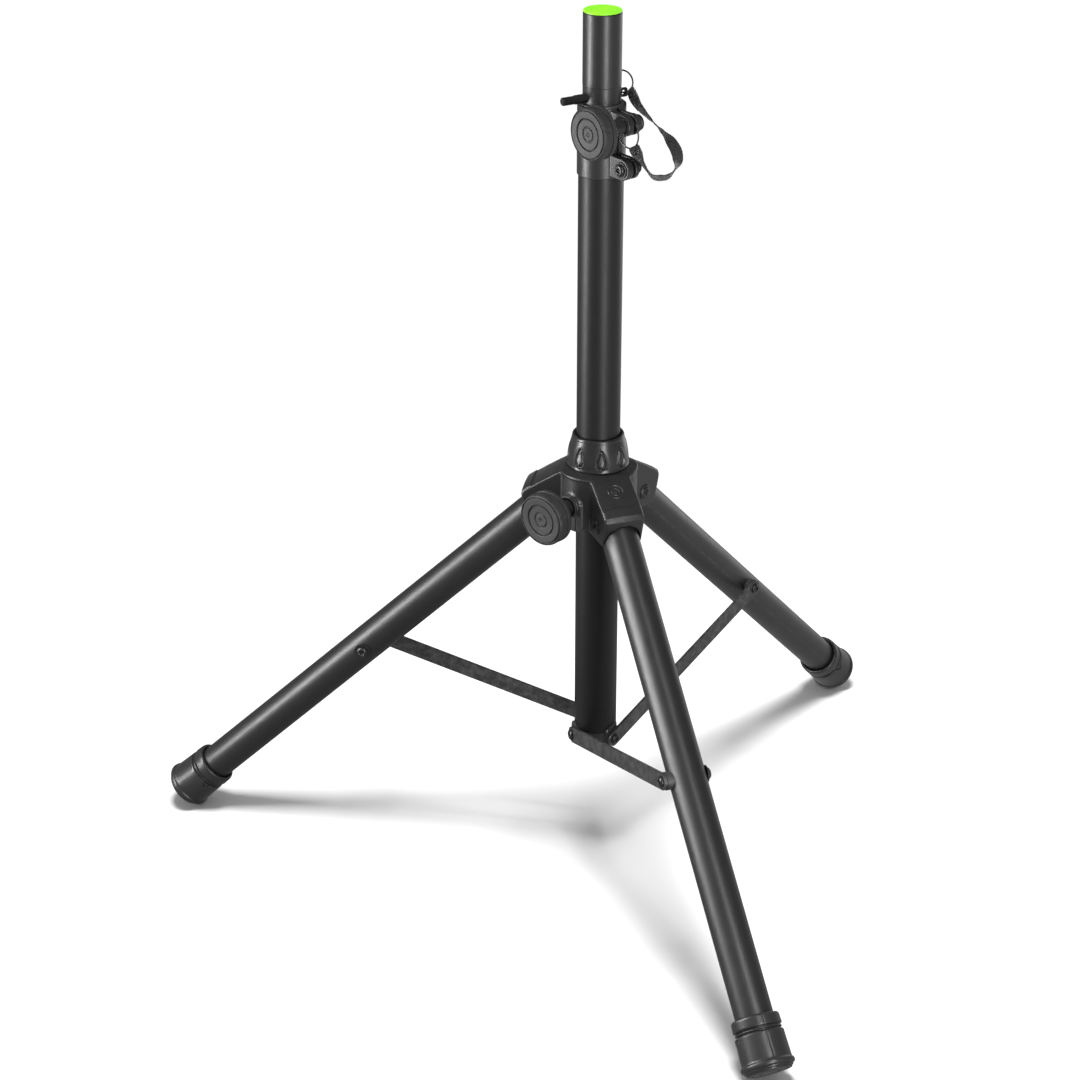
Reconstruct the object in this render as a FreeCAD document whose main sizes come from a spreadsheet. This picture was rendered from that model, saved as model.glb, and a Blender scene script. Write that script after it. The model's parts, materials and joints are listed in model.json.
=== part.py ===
# Speaker tripod stand: a 35 mm pole telescoping in a round mast, carried by three
# folding tube legs that hang from a sliding hub and are braced by flat strut bars.
#
# Frame: +Z up the mast axis, origin on the floor under the mast. The front leg
# points along -Y, the right leg to azimuth 30 degrees and the left leg to 150.
# Each leg piece is drawn in a leg frame (X outward, Z up) and turned to its azimuth.
import FreeCAD, Part
import math
import os
import Sketcher
from FreeCAD import Placement, Rotation, Vector

doc = FreeCAD.newDocument("SpeakerStand")
sheet = doc.addObject("Spreadsheet::Sheet", "Sizes")


# ---------------------------------------------------------------- driving sizes
class Dim:
    """A number together with the spreadsheet expression that gives it."""

    def __init__(self, value, text):
        self.value = float(value)
        self.text = text

    def __float__(self):
        return self.value

    def __add__(self, other):
        other = dim(other)
        return Dim(self.value + other.value, "(%s + %s)" % (self.text, other.text))

    def __sub__(self, other):
        other = dim(other)
        return Dim(self.value - other.value, "(%s - %s)" % (self.text, other.text))

    def __mul__(self, other):
        other = dim(other)
        return Dim(self.value * other.value, "(%s * %s)" % (self.text, other.text))

    def __truediv__(self, other):
        other = dim(other)
        return Dim(self.value / other.value, "(%s / %s)" % (self.text, other.text))

    def __neg__(self):
        return Dim(-self.value, "(0 - %s)" % self.text)

    def __radd__(self, other):
        return dim(other) + self

    def __rsub__(self, other):
        return dim(other) - self

    def __rmul__(self, other):
        return dim(other) * self


def dim(x):
    return x if isinstance(x, Dim) else Dim(x, repr(float(x)))


class Sizes:
    pass


S = Sizes()
SIZES = (
    # alias, value in mm or degrees, meaning
    ("mast_rad", 20.65, "outer radius of the mast tube"),
    ("mast_bore", 19.05, "inner radius of the mast tube"),
    ("mast_foot", 134.5, "height of the mast tube's lower end"),
    ("mast_head", 767.5, "height of the mast tube's upper end"),
    ("pole_rad", 17.5, "radius of the speaker spigot at the top of the pole"),
    ("pole_run_rad", 17.3, "radius of the pole where it runs in the mast"),
    ("pole_bore", 15.7, "inner radius of the pole"),
    ("pole_foot", 145.0, "height of the pole's lower end"),
    ("spigot_foot", 785.0, "height where the spigot starts"),
    ("pole_head", 850.9, "height of the pole's upper rim"),
    ("cap_head", 852.3, "height of the end cap's face"),
    ("pin_level", 774.7, "height of the safety pin"),
    ("pin_az", 9.7, "azimuth of the safety pin's head"),
    ("pin_pitch", 90.0, "distance between the pole's pin holes"),
    ("pin_rad", 4.2, "radius of the safety pin"),
    ("pin_tip_rad", 3.75, "radius of the pin's tip"),
    ("pin_hole_rad", 4.35, "radius of the pole's pin holes"),
    ("collar_rad", 22.0, "outer radius of the clamp collar"),
    ("collar_foot", 703.5, "height of the collar's lower end"),
    ("collar_head", 768.5, "height of the collar's upper end"),
    ("lug_reach", 36.0, "distance of the clamp screws from the mast axis"),
    ("lug_rad", 9.7, "radius of the clamp lugs"),
    ("knob_level", 756.4, "height of the collar knob's axis"),
    ("screw_level", 716.3, "height of the lower clamp screw"),
    ("collar_knob_face", 48.4, "outer face of the collar knob, from the clamp slit"),
    ("knob_rad", 24.0, "radius of the collar knob"),
    ("knob_thick", 15.8, "thickness of the collar knob"),
    ("hub_knob_rad", 25.4, "radius of the hub knob"),
    ("hub_knob_thick", 16.8, "thickness of the hub knob"),
    ("hub_knob_face", 84.9, "outer face of the hub knob, from the mast axis"),
    ("hub_knob_level", 387.8, "height of the hub knob's axis"),
    ("hub_foot", 359.0, "height of the hub's lower rim"),
    ("hub_head", 418.5, "height of the hub's upper rim"),
    ("hub_core_rad", 27.0, "outer radius of the hub's sleeve"),
    ("hub_bore", 22.0, "inner radius of the hub's sleeve"),
    ("crown_head", 450.0, "height of the crown ring's upper rim"),
    ("crown_low_rad", 29.5, "crown ring radius at its lower rim"),
    ("crown_top_rad", 23.5, "crown ring radius at its upper rim"),
    ("housing_half", 20.0, "half width of a leg housing"),
    ("cheek_gap", 18.0, "half width of the slot that takes a leg"),
    ("pivot_reach", 48.0, "distance of the leg pivots from the mast axis"),
    ("pivot_level", 376.44, "height of the leg pivots"),
    ("leg_tilt", 46.56, "angle of a leg from the vertical"),
    ("leg_rad", 17.5, "outer radius of a leg tube"),
    ("leg_bore", 15.9, "inner radius of a leg tube"),
    ("leg_top", 9.0, "length of a leg tube above its pivot"),
    ("leg_end", 514.0, "length of a leg tube below its pivot"),
    ("pivot_bolt_rad", 4.0, "radius of a leg pivot bolt"),
    ("brace_at", 252.2, "distance of the strut bolt from the leg pivot"),
    ("strut_level", 126.2, "height of the inner strut bolts"),
    ("strut_angle", 18.408, "rise of a strut bar from the horizontal"),
    ("strut_len", 243.56, "length of a strut bar between its bolts"),
    ("strut_half", 8.0, "half width of a strut bar"),
    ("strut_in", 22.3, "inner face of a strut bar, from the leg's middle plane"),
    ("strut_thick", 2.8, "thickness of a strut bar"),
    ("brace_bolt_rad", 3.0, "radius of the strut bolts"),
    ("spacer_rad", 8.5, "radius of the strut spacers"),
    ("spacer_face", 22.0, "outer face of a strut spacer, from the leg's middle plane"),
    ("boot_top", 476.0, "start of the rubber foot, from the leg pivot"),
    ("boot_rad", 22.9, "radius of the rubber foot's body"),
    ("boot_lip_rad", 24.6, "radius of the rubber foot's lip"),
    ("boot_lip", 521.4, "lower edge of the foot's lip, from the leg pivot"),
    ("boot_sole", 525.5, "sole of the rubber foot, from the leg pivot"),
    ("ring_rad", 10.0, "radius of the upper wire ring"),
    ("loop_rad", 13.2, "radius of the lower wire ring"),
    ("wire_rad", 0.75, "radius of the rings' wire"),
    ("strap_rad", 2.5, "radius of the strap's plain solid"),
    ("eyelet_rad", 5.0, "radius of the strap's end eyelets"),
)
for row, (alias, value, meaning) in enumerate(SIZES, start=1):
    sheet.set("A%d" % row, meaning)
    sheet.set("B%d" % row, repr(value))
    sheet.setAlias("B%d" % row, alias)
    setattr(S, alias, Dim(value, "Sizes." + alias))
doc.recompute()

LEGS = (("front", -90.0), ("right", 30.0), ("left", 150.0))
KNOB_AZ = -150.0  # azimuth of the hub knob, between the left and front legs
LUG_AZ = -70.0  # azimuth of the collar's clamp lugs
Z = Vector(0, 0, 1)
nodes = []


# ---------------------------------------------------------------- small helpers
def node(obj, label):
    obj.Label = label
    nodes.append(obj)
    return obj


def body(label):
    return doc.addObject("PartDesign::Body", label)


def plane(b, role):
    for f in b.Origin.OriginFeatures:
        if f.Role == role:
            return f
    raise RuntimeError(role)


def sketch(b, name, role="XZ_Plane", offset=None):
    s = b.newObject("Sketcher::SketchObject", name)
    s.AttachmentSupport = [(plane(b, role), "")]
    s.MapMode = "FlatFace"
    if offset is not None:
        offset = dim(offset)
        s.AttachmentOffset = Placement(Vector(0, 0, offset.value), Rotation())
        s.setExpression("AttachmentOffset.Base.z", offset.text)
    return s


def pin_point(s, geo, end, x, y):
    """Fix one point of a sketch at (x, y) with driving constraints."""
    x, y = dim(x), dim(y)
    if abs(x.value) < 1e-9:
        s.addConstraint(Sketcher.Constraint("PointOnObject", geo, end, -2))
    else:
        c = s.addConstraint(Sketcher.Constraint("DistanceX", -1, 1, geo, end, x.value))
        s.setExpression("Constraints[%d]" % c, x.text)
    if abs(y.value) < 1e-9:
        s.addConstraint(Sketcher.Constraint("PointOnObject", geo, end, -1))
    else:
        c = s.addConstraint(Sketcher.Constraint("DistanceY", -1, 1, geo, end, y.value))
        s.setExpression("Constraints[%d]" % c, y.text)


def loop(s, points):
    """A closed chain of straight edges through the given points."""
    pts = [(dim(x), dim(y)) for x, y in points]
    first = s.GeometryCount
    n = len(pts)
    for i in range(n):
        a, c = pts[i], pts[(i + 1) % n]
        s.addGeometry(
            Part.LineSegment(
                Vector(a[0].value, a[1].value, 0), Vector(c[0].value, c[1].value, 0)
            ),
            False,
        )
    for i in range(n):
        s.addConstraint(
            Sketcher.Constraint("Coincident", first + i, 2, first + (i + 1) % n, 1)
        )
    for i, (x, y) in enumerate(pts):
        pin_point(s, first + i, 1, x, y)


def ring(s, radius, x=0.0, y=0.0):
    """A circle of a given radius at (x, y)."""
    radius, x, y = dim(radius), dim(x), dim(y)
    g = s.addGeometry(
        Part.Circle(Vector(x.value, y.value, 0), Vector(0, 0, 1), radius.value), False
    )
    c = s.addConstraint(Sketcher.Constraint("Radius", g, radius.value))
    s.setExpression("Constraints[%d]" % c, radius.text)
    if abs(x.value) < 1e-9 and abs(y.value) < 1e-9:
        s.addConstraint(Sketcher.Constraint("Coincident", g, 3, -1, 1))
    else:
        pin_point(s, g, 3, x, y)


def revolve(b, s, name="Turned"):
    f = b.newObject("PartDesign::Revolution", name)
    f.Profile = s
    f.ReferenceAxis = (s, ["V_Axis"])
    f.Angle = 360.0
    b.Tip = f
    return f


def pad(b, s, length, name="Pad", mid=False, back=False):
    f = b.newObject("PartDesign::Pad", name)
    f.Profile = s
    length = dim(length)
    f.Length = length.value
    f.setExpression("Length", length.text)
    if mid:
        if hasattr(f, "SideType"):
            f.SideType = "Symmetric"
        else:
            f.Midplane = True
    f.Reversed = back
    b.Tip = f
    return f


def pocket(b, s, name="Cut", length=None, mid=True, back=False):
    f = b.newObject("PartDesign::Pocket", name)
    f.Profile = s
    if length is None:
        f.Type = "ThroughAll"
    else:
        length = dim(length)
        f.Length = length.value
        f.setExpression("Length", length.text)
    if mid:
        if hasattr(f, "SideType"):
            f.SideType = "Symmetric"
        else:
            f.Midplane = True
    f.Reversed = back
    b.Tip = f
    return f


def polar(b, originals, count, name="Around"):
    f = b.newObject("PartDesign::PolarPattern", name)
    f.Originals = originals
    f.Axis = (z_axis(b), [""])
    f.Angle = 360.0
    f.Occurrences = count
    b.Tip = f
    return f


def z_axis(b):
    for f in b.Origin.OriginFeatures:
        if f.Role == "Z_Axis":
            return f
    raise RuntimeError("Z_Axis")


def turned(label, points, place=None, register=True):
    """A body of revolution about its own Z axis: points are (radius, height)."""
    b = body(label)
    s = sketch(b, label + "_profile")
    loop(s, points)
    revolve(b, s)
    if place is not None:
        b.Placement = place
    if register:
        node(b, label)
    return b


def about_z(az):
    return Placement(Vector(0, 0, 0), Rotation(Z, az))


def along(az, x, y, z, direction):
    """Placement whose local Z runs along a leg-frame direction from a leg-frame point."""
    return about_z(az).multiply(
        Placement(Vector(float(x), float(y), float(z)), Rotation(Z, Vector(*direction)))
    )


def group(label, source, places):
    """Identical fasteners: copies of one shape, as separate solids of one node."""
    f = doc.addObject("Part::Feature", label)
    f.Shape = Part.makeCompound(
        [source.Shape.transformed(p.multiply(source.Placement.inverse()).toMatrix()) for p in places]
    )
    return node(f, label)


def solid_feature(label, shape):
    f = doc.addObject("Part::Feature", label)
    if shape.ShapeType == "Compound" and len(shape.Solids) == 1:
        shape = shape.Solids[0]
    f.Shape = shape
    return node(f, label)


def cyl(r, length, base, direction):
    return Part.makeCylinder(float(r), float(length), Vector(*[float(c) for c in base]), Vector(*direction))


# ---------------------------------------------------------------- mast
mast = body("mast_tube")
s = sketch(mast, "mast_section")
loop(s, [(S.mast_bore, S.mast_foot), (S.mast_rad, S.mast_foot), (S.mast_rad, S.mast_head), (S.mast_bore, S.mast_head)])
revolve(mast, s)
# saw cut in the upper end that lets the collar squeeze the tube
s = sketch(mast, "saw_cut", "YZ_Plane")
loop(s, [(-1.0, S.collar_foot + 3.0), (1.0, S.collar_foot + 3.0), (1.0, S.mast_head + 5.0), (-1.0, S.mast_head + 5.0)])
f = pocket(mast, s, "SawCut", length=S.mast_rad + 10.0, mid=False, back=True)
mast.Placement = about_z(LUG_AZ)
node(mast, "mast_tube")

bracket = body("bottom_bracket")
s = sketch(bracket, "bracket_profile")
loop(s, [
    (0.0, S.mast_foot - 16.5), (20.3, S.mast_foot - 16.5), (21.3, S.mast_foot - 15.0),
    (21.3, S.mast_foot), (S.mast_bore - 0.05, S.mast_foot), (S.mast_bore - 0.05, S.mast_foot + 9.0),
    (16.2, S.mast_foot + 9.0), (16.2, S.mast_foot - 13.0), (0.0, S.mast_foot - 13.0),
])
revolve(bracket, s, "Cup")
# one ear stands beside the mast for each strut; its flat face is square to X
s = sketch(bracket, "ear_outline", "YZ_Plane", offset=-S.spacer_face)
ring(s, 8.6, 0.0, S.strut_level + 5.8)
ear = pad(bracket, s, 5.0, "EarEye")
s = sketch(bracket, "ear_root", "YZ_Plane", offset=-S.spacer_face)
loop(s, [(-8.6, S.mast_foot - 16.1), (8.6, S.mast_foot - 16.1), (8.6, S.strut_level + 5.8), (-8.6, S.strut_level + 5.8)])
root = pad(bracket, s, 5.0, "EarRoot")
polar(bracket, [ear, root], 3, "ThreeEars")
s = sketch(bracket, "bore_for_mast", "XY_Plane", offset=S.mast_foot)
ring(s, S.mast_rad + 0.05)
ring(s, S.mast_bore - 0.05)
pocket(bracket, s, "MastSeat", length=20.0, mid=False, back=True)
s = sketch(bracket, "ear_bolt_hole", "YZ_Plane", offset=-S.spacer_face)
ring(s, S.brace_bolt_rad + 0.05, 0.0, S.strut_level)
hole = pocket(bracket, s, "EarHole", length=9.0, mid=False, back=True)
polar(bracket, [hole], 3, "ThreeHoles")
node(bracket, "bottom_bracket")

# button-head bolt: head at +Z, shank below
def bolt(label, shank_rad, shank_len, head_rad, head_len, socket_rad, register=False, place=None):
    b = body(label)
    s = sketch(b, label + "_profile")
    loop(s, [
        (0.0, -dim(shank_len)), (shank_rad, -dim(shank_len)), (shank_rad, 0.0), (head_rad, 0.0),
        (head_rad, dim(head_len) * 0.35), (dim(head_rad) * 0.82, dim(head_len) * 0.85),
        (dim(head_rad) * 0.6, head_len), (0.0, head_len),
    ])
    revolve(b, s)
    s = sketch(b, label + "_socket", "XY_Plane", offset=dim(head_len))
    pts = [(float(socket_rad) * math.cos(math.radians(a)), float(socket_rad) * math.sin(math.radians(a))) for a in range(0, 360, 60)]
    loop(s, pts)
    pocket(b, s, "Socket", length=dim(head_len) * 0.6, mid=False)
    if place is not None:
        b.Placement = place
    if register:
        node(b, label)
    return b


src = bolt("strut_bolt_form", S.brace_bolt_rad - 0.05, S.strut_thick + 8.0, 5.4, 2.5, 2.2)
strut_face = S.strut_in + S.strut_thick
doc.recompute()
group("strut_inner_bolts", src, [
    along(az, 0.0, -(float(strut_face) + 0.15), S.strut_level, (0, -1, 0)) for _, az in LEGS
])

# ---------------------------------------------------------------- collar clamp
# collar frame: X runs through the lugs, the clamp screws run along Y
collar = body("collar_clamp")
s = sketch(collar, "collar_section", "XY_Plane", offset=S.collar_foot)
ring(s, S.collar_rad)
pad(collar, s, S.collar_head - S.collar_foot, "Sleeve")
for nm, level in (("upper", S.knob_level), ("lower", S.screw_level)):
    s = sketch(collar, nm + "_lug_eye", "XZ_Plane", offset=-5.8)
    ring(s, S.lug_rad, S.lug_reach, level)
    pad(collar, s, 13.8, nm + "_eye")
    s = sketch(collar, nm + "_lug_web", "XZ_Plane", offset=-5.8)
    loop(s, [
        (14.0, level - S.lug_rad - 1.0), (24.0, level - S.lug_rad), (S.lug_reach, level - S.lug_rad),
        (S.lug_reach, level + S.lug_rad), (24.0, level + S.lug_rad), (14.0, level + S.lug_rad + 1.0),
    ])
    pad(collar, s, 13.8, nm + "_web")
s = sketch(collar, "collar_bore", "XY_Plane", offset=S.collar_foot)
ring(s, S.mast_rad + 0.05)
pocket(collar, s, "MastBore", mid=True)
s = sketch(collar, "clamp_slit", "XY_Plane", offset=S.collar_foot)
loop(s, [(15.0, -1.4), (60.0, -1.4), (60.0, 1.4), (15.0, 1.4)])
pocket(collar, s, "Slit", mid=True)
s = sketch(collar, "clamp_holes", "XZ_Plane")
ring(s, 4.08, S.lug_reach, S.knob_level)
ring(s, 3.05, S.lug_reach, S.screw_level)
pocket(collar, s, "ScrewHoles", mid=True)
collar.Placement = about_z(LUG_AZ)
node(collar, "collar_clamp")

bolt("collar_clamp_screw", 3.0, 20.5, 5.6, 2.9, 2.4, register=True,
     place=along(LUG_AZ, S.lug_reach, -9.1, S.screw_level, (0, -1, 0)))
turned("collar_screw_washer", [(3.05, 0.0), (7.4, 0.0), (7.4, 1.0), (3.05, 1.0)],
       along(LUG_AZ, S.lug_reach, -8.05, S.screw_level, (0, -1, 0)))


def hex_nut(label, bore, across, thick, place):
    b = body(label)
    s = sketch(b, label + "_outline", "XY_Plane")
    rad = across / 2.0 / math.cos(math.radians(30))
    loop(s, [(rad * math.cos(math.radians(a)), rad * math.sin(math.radians(a))) for a in range(0, 360, 60)])
    pad(b, s, thick)
    s = sketch(b, label + "_bore", "XY_Plane")
    ring(s, bore)
    pocket(b, s, "Thread", mid=True)
    b.Placement = place
    node(b, label)
    return b


hex_nut("collar_clamp_nut", 3.05, 10.0, 5.0, along(LUG_AZ, S.lug_reach, 5.85, S.screw_level, (0, 1, 0)))
hex_nut("collar_knob_nut", 4.08, 13.0, 5.0, along(LUG_AZ, S.lug_reach, 7.1, S.knob_level, (0, 1, 0)))
turned("collar_nut_washer", [(4.1, 0.0), (9.2, 0.0), (9.2, 1.2), (4.1, 1.2)],
       along(LUG_AZ, S.lug_reach, 5.85, S.knob_level, (0, 1, 0)))

turned("pole_bushing", [
    (S.pole_run_rad + 0.06, S.collar_foot + 2.0), (S.mast_bore - 0.03, S.collar_foot + 2.0),
    (S.mast_bore - 0.03, S.mast_head), (S.mast_rad - 0.2, S.mast_head),
    (S.mast_rad - 0.6, S.mast_head + 1.9), (S.pole_run_rad + 0.06, S.mast_head + 1.9),
])

# ---------------------------------------------------------------- pole
pole = body("pole_tube")
s = sketch(pole, "pole_section")
loop(s, [
    (S.pole_bore, S.pole_foot), (S.pole_run_rad, S.pole_foot), (S.pole_run_rad, S.spigot_foot),
    (S.pole_rad, S.spigot_foot), (S.pole_rad, S.pole_head - 0.8), (S.pole_rad - 0.6, S.pole_head), (S.pole_bore, S.pole_head),
])
revolve(pole, s)
s = sketch(pole, "pin_holes", "YZ_Plane")
for k in range(7):
    ring(s, S.pin_hole_rad, 0.0, S.pin_level - S.pin_pitch * k)
pocket(pole, s, "PinHoles", mid=True)
pole.Placement = about_z(float(S.pin_az))
node(pole, "pole_tube")
turned("pole_cap", [
    (0.0, S.pole_head), (S.pole_bore - 1.6, S.pole_head), (S.pole_bore - 1.6, S.pole_head - 16.0),
    (S.pole_bore - 0.02, S.pole_head - 15.0), (S.pole_bore - 0.02, S.pole_head), (S.pole_rad - 0.25, S.pole_head),
    (S.pole_rad - 0.1, S.pole_head + 0.3), (S.pole_rad - 0.1, S.cap_head - 0.5), (S.pole_rad - 0.7, S.cap_head), (0.0, S.cap_head),
])
turned("pole_foot_guide", [
    (S.pole_run_rad, S.pole_foot), (S.mast_bore - 0.07, S.pole_foot + 0.8), (S.mast_bore - 0.07, S.pole_foot + 14.2),
    (S.pole_run_rad, S.pole_foot + 15.0),
])

# ---------------------------------------------------------------- safety pin, rings and strap
pin = body("lock_pin")
s = sketch(pin, "pin_profile")
loop(s, [
    (0.0, -41.0), (S.pin_tip_rad - 0.7, -41.0), (S.pin_tip_rad, -40.2), (S.pin_tip_rad, -28.5),
    (S.pin_rad, -27.8), (S.pin_rad, 24.9), (S.pin_rad - 0.9, 25.8), (0.0, 25.8),
])
revolve(pin, s)
s = sketch(pin, "eye_flats", "XZ_Plane")
loop(s, [(1.5, 18.6), (8.0, 18.6), (8.0, 30.0), (1.5, 30.0)])
loop(s, [(-1.5, 18.6), (-8.0, 18.6), (-8.0, 30.0), (-1.5, 30.0)])
pocket(pin, s, "EyeFlats", mid=True)
s = sketch(pin, "eye_hole", "YZ_Plane")
ring(s, 2.4, 0.0, 21.8)
pocket(pin, s, "EyeHole", mid=True)
# local Z along the pin, local X level and square to it
pin_dir = Vector(math.cos(math.radians(float(S.pin_az))), math.sin(math.radians(float(S.pin_az))), 0)
side = Z.cross(pin_dir)
pin.Placement = Placement(Vector(0, 0, float(S.pin_level)), Rotation(side, Z, pin_dir, "ZXY"))
node(pin, "lock_pin")

# the view plane of the strap: U runs to the right of it, W out of it
U = Vector(math.cos(math.radians(-21.3)), math.sin(math.radians(-21.3)), 0)
W = Vector(math.cos(math.radians(-111.3)), math.sin(math.radians(-111.3)), 0)


def uwz(u, w, z):
    return U * u + W * w + Z * z


def torus(label, major, minor, centre, normal):
    f = doc.addObject("Part::Torus", label)
    f.Radius1 = major.value
    f.setExpression("Radius1", major.text)
    f.Radius2 = minor.value
    f.setExpression("Radius2", minor.text)
    f.Placement = Placement(centre, Rotation(Z, normal))
    return node(f, label)


eye = pin_dir * 21.8 + Z * (float(S.pin_level) - 0.1)
ring_centre = eye + Z * float(S.ring_rad)
# the ring stands aslant behind the pole, clear of its wall
ring_way = U * math.cos(math.radians(30.0)) + W * math.sin(math.radians(30.0))
torus("pin_ring", S.ring_rad, S.wire_rad, ring_centre, ring_way.cross(Z))

# lower ring: hangs on the knob's bolt inside the collar's slit
lug_dir = Vector(math.cos(math.radians(LUG_AZ)), math.sin(math.radians(LUG_AZ)), 0)
bolt_dir = Vector(math.cos(math.radians(LUG_AZ + 90)), math.sin(math.radians(LUG_AZ + 90)), 0)
loop_centre = lug_dir * float(S.lug_reach) + Z * (
    float(S.knob_level) + 4.0 + float(S.wire_rad) + 0.3 - float(S.loop_rad)
)
torus("collar_ring", S.loop_rad, S.wire_rad, loop_centre, bolt_dir)

# eyelets at the strap's two ends, each threaded by its ring
down = math.radians(-42.0)
hook_up = ring_centre + ring_way * (float(S.ring_rad) * math.cos(down)) + Z * (float(S.ring_rad) * math.sin(down))
tangent_up = ring_way * (-math.sin(down)) + Z * math.cos(down)
low = math.radians(-54.0)
hook_low = loop_centre + lug_dir * (float(S.loop_rad) * math.cos(low)) + Z * (float(S.loop_rad) * math.sin(low))
tangent_low = lug_dir * (-math.sin(low)) + Z * math.cos(low)


def eyelet(label, centre, axis):
    b = turned(label, [
        (2.6, -1.0), (S.eyelet_rad, -1.0), (S.eyelet_rad, 1.0), (2.6, 1.0),
    ], Placement(centre, Rotation(Z, axis)))
    return b


# the ring's wire lies against the top of each eyelet's hole
out_up = ring_way * math.cos(down) + Z * math.sin(down)
out_low = lug_dir * math.cos(low) + Z * math.sin(low)
eye_up = hook_up + out_up * 1.5
eye_low = hook_low + out_low * 1.5
eyelet("strap_eyelet_upper", eye_up, tangent_up)
eyelet("strap_eyelet_lower", eye_low, tangent_low)

ROUTE = (
    # points of the strap's route as (u, w, z) in the strap's view plane
    (30.4, -6.0, 766.2),
    (36.5, -4.5, 759.4),
    (44.4, -2.0, 751.9),
    (52.9, 1.0, 743.9),
    (60.2, 4.5, 736.8),
    (65.7, 8.0, 729.9),
    (68.4, 11.0, 723.2),
    (68.2, 13.5, 716.6),
    (64.9, 16.5, 709.9),
    (59.3, 18.9, 705.5),
    (51.0, 21.3, 705.6),
    (43.9, 25.0, 710.4),
    (39.0, 29.6, 717.6),
    (34.8, 33.2, 725.2),
)
start = eye_up + (uwz(*ROUTE[0]) - eye_up).normalize() * (float(S.eyelet_rad) + 0.3)
finish = eye_low + (uwz(*ROUTE[-1]) - eye_low).normalize() * (float(S.eyelet_rad) + 0.3)
points = [start] + [uwz(*p) for p in ROUTE] + [finish]


def rounded_path(pts):
    """Straight runs joined by tangent arcs of 0.45 of the shorter run over tan(half turn)."""
    edges, at, radii = [], pts[0], []
    for i in range(1, len(pts) - 1):
        a, p, c = pts[i - 1], pts[i], pts[i + 1]
        d1, d2 = (p - a), (c - p)
        short = min(d1.Length, d2.Length)
        d1.normalize()
        d2.normalize()
        half = d1.getAngle(d2) / 2.0
        cut = 0.45 * short
        radius = cut / math.tan(half)
        radii.append(radius)
        p1, p2 = p - d1 * cut, p + d2 * cut
        centre = p1 + (d2 - d1 * d1.dot(d2)).normalize() * radius
        mid = centre + ((p1 + p2) * 0.5 - centre).normalize() * radius
        edges.append(Part.LineSegment(at, p1).toShape())
        edges.append(Part.Arc(p1, mid, p2).toShape())
        at = p2
    edges.append(Part.LineSegment(at, pts[-1]).toShape())
    return Part.Wire(edges), radii


path, radii = rounded_path(points)
print("strap radii", [round(r, 1) for r in radii], "length", round(path.Length, 1))
section = Part.Wire([Part.Circle(points[0], (points[1] - points[0]).normalize(), float(S.strap_rad)).toShape()])
strap = path.makePipeShell([section], True, False)
solid_feature("retaining_strap", strap)
print("strap volume ratio", round(strap.Volume / (math.pi * float(S.strap_rad) ** 2 * path.Length), 4))

# ---------------------------------------------------------------- knobs
def knob(label, place, r, t):
    """Round rubber-coated knob: its outer face is at local z = 0, its neck reaches down."""
    b = body(label)
    s = sketch(b, label + "_profile")
    loop(s, [
        (0.0, -1.2), (9.0, -1.2), (9.6, -0.4), (r - 6.6, -0.4), (r - 6.0, -1.0), (r - 5.2, -1.0), (r - 4.6, 0.0),
        (r - 2.6, 0.0), (r - 0.8, -1.6), (r, -3.6), (r, -(t - 3.0)), (r - 1.4, -(t - 1.2)), (r - 3.2, -t),
        (8.5, -t), (7.6, -(t + 2.0)), (0.0, -(t + 2.0)),
    ])
    revolve(b, s)
    # grip notches around the rim
    s = sketch(b, label + "_notch", "XY_Plane", offset=-3.0)
    ring(s, 1.8, r + 1.1, 0.0)
    n = pocket(b, s, "Notch", length=6.0, mid=False)
    polar(b, [n], 8, "Notches")
    b.Placement = place
    return node(b, label)


knob("collar_knob", along(LUG_AZ, S.lug_reach, -float(S.collar_knob_face), S.knob_level, (0, -1, 0)), S.knob_rad, S.knob_thick)
stem = float(S.collar_knob_face - S.knob_thick) - 2.0
turned("collar_knob_stem", [
    (0.0, 0.0), (7.4, 0.0), (7.4, stem - 9.6), (8.8, stem - 9.4), (8.8, stem - 8.15), (4.0, stem - 8.15),
    (4.0, stem + 12.4), (3.2, stem + 13.2), (0.0, stem + 13.2),
], along(LUG_AZ, S.lug_reach, -stem, S.knob_level, (0, 1, 0)))

knob("hub_knob", along(KNOB_AZ, S.hub_knob_face, 0, S.hub_knob_level, (1, 0, 0)), S.hub_knob_rad, S.hub_knob_thick)
back = float(S.hub_knob_face - S.hub_knob_thick) - 2.0
turned("hub_knob_stud", [
    (0.0, 24.9), (4.2, 24.9), (5.0, 25.7), (5.0, 45.0), (7.6, 45.2), (7.6, back), (0.0, back),
], along(KNOB_AZ, 0, 0, S.hub_knob_level, (1, 0, 0)))

# ---------------------------------------------------------------- hub
# side outline of a housing in its leg frame: foot, nose, sloping roof
hh = S.hub_head
top_z = float(hh)
SIDE = [
    (14.0, top_z - 56.7), (63.6, top_z - 56.7), (69.4, top_z - 38.0), (71.0, top_z - 30.3), (69.3, top_z - 26.7),
    (62.6, top_z - 21.9), (50.5, top_z - 14.0), (38.0, top_z - 6.2), (30.0, top_z - 1.9), (24.0, top_z - 0.4), (14.0, top_z),
]


def drawn_in(points, gap):
    """The outline with its nose and roof edges moved inward by gap; foot and back stay."""
    lines = []
    n = len(points)
    for i in range(n):
        (x1, z1), (x2, z2) = points[i], points[(i + 1) % n]
        ux, uz = x2 - x1, z2 - z1
        size = math.hypot(ux, uz)
        ux, uz = ux / size, uz / size
        move = 0.0 if i in (0, n - 1) else gap
        lines.append((x1 - uz * move, z1 + ux * move, ux, uz))
    out = []
    for i in range(n):
        x1, z1, ax, az_ = lines[i - 1]
        x2, z2, bx, bz = lines[i]
        det = ax * bz - az_ * bx
        k = ((x2 - x1) * bz - (z2 - z1) * bx) / det
        out.append((x1 + ax * k, z1 + az_ * k))
    return out


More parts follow.
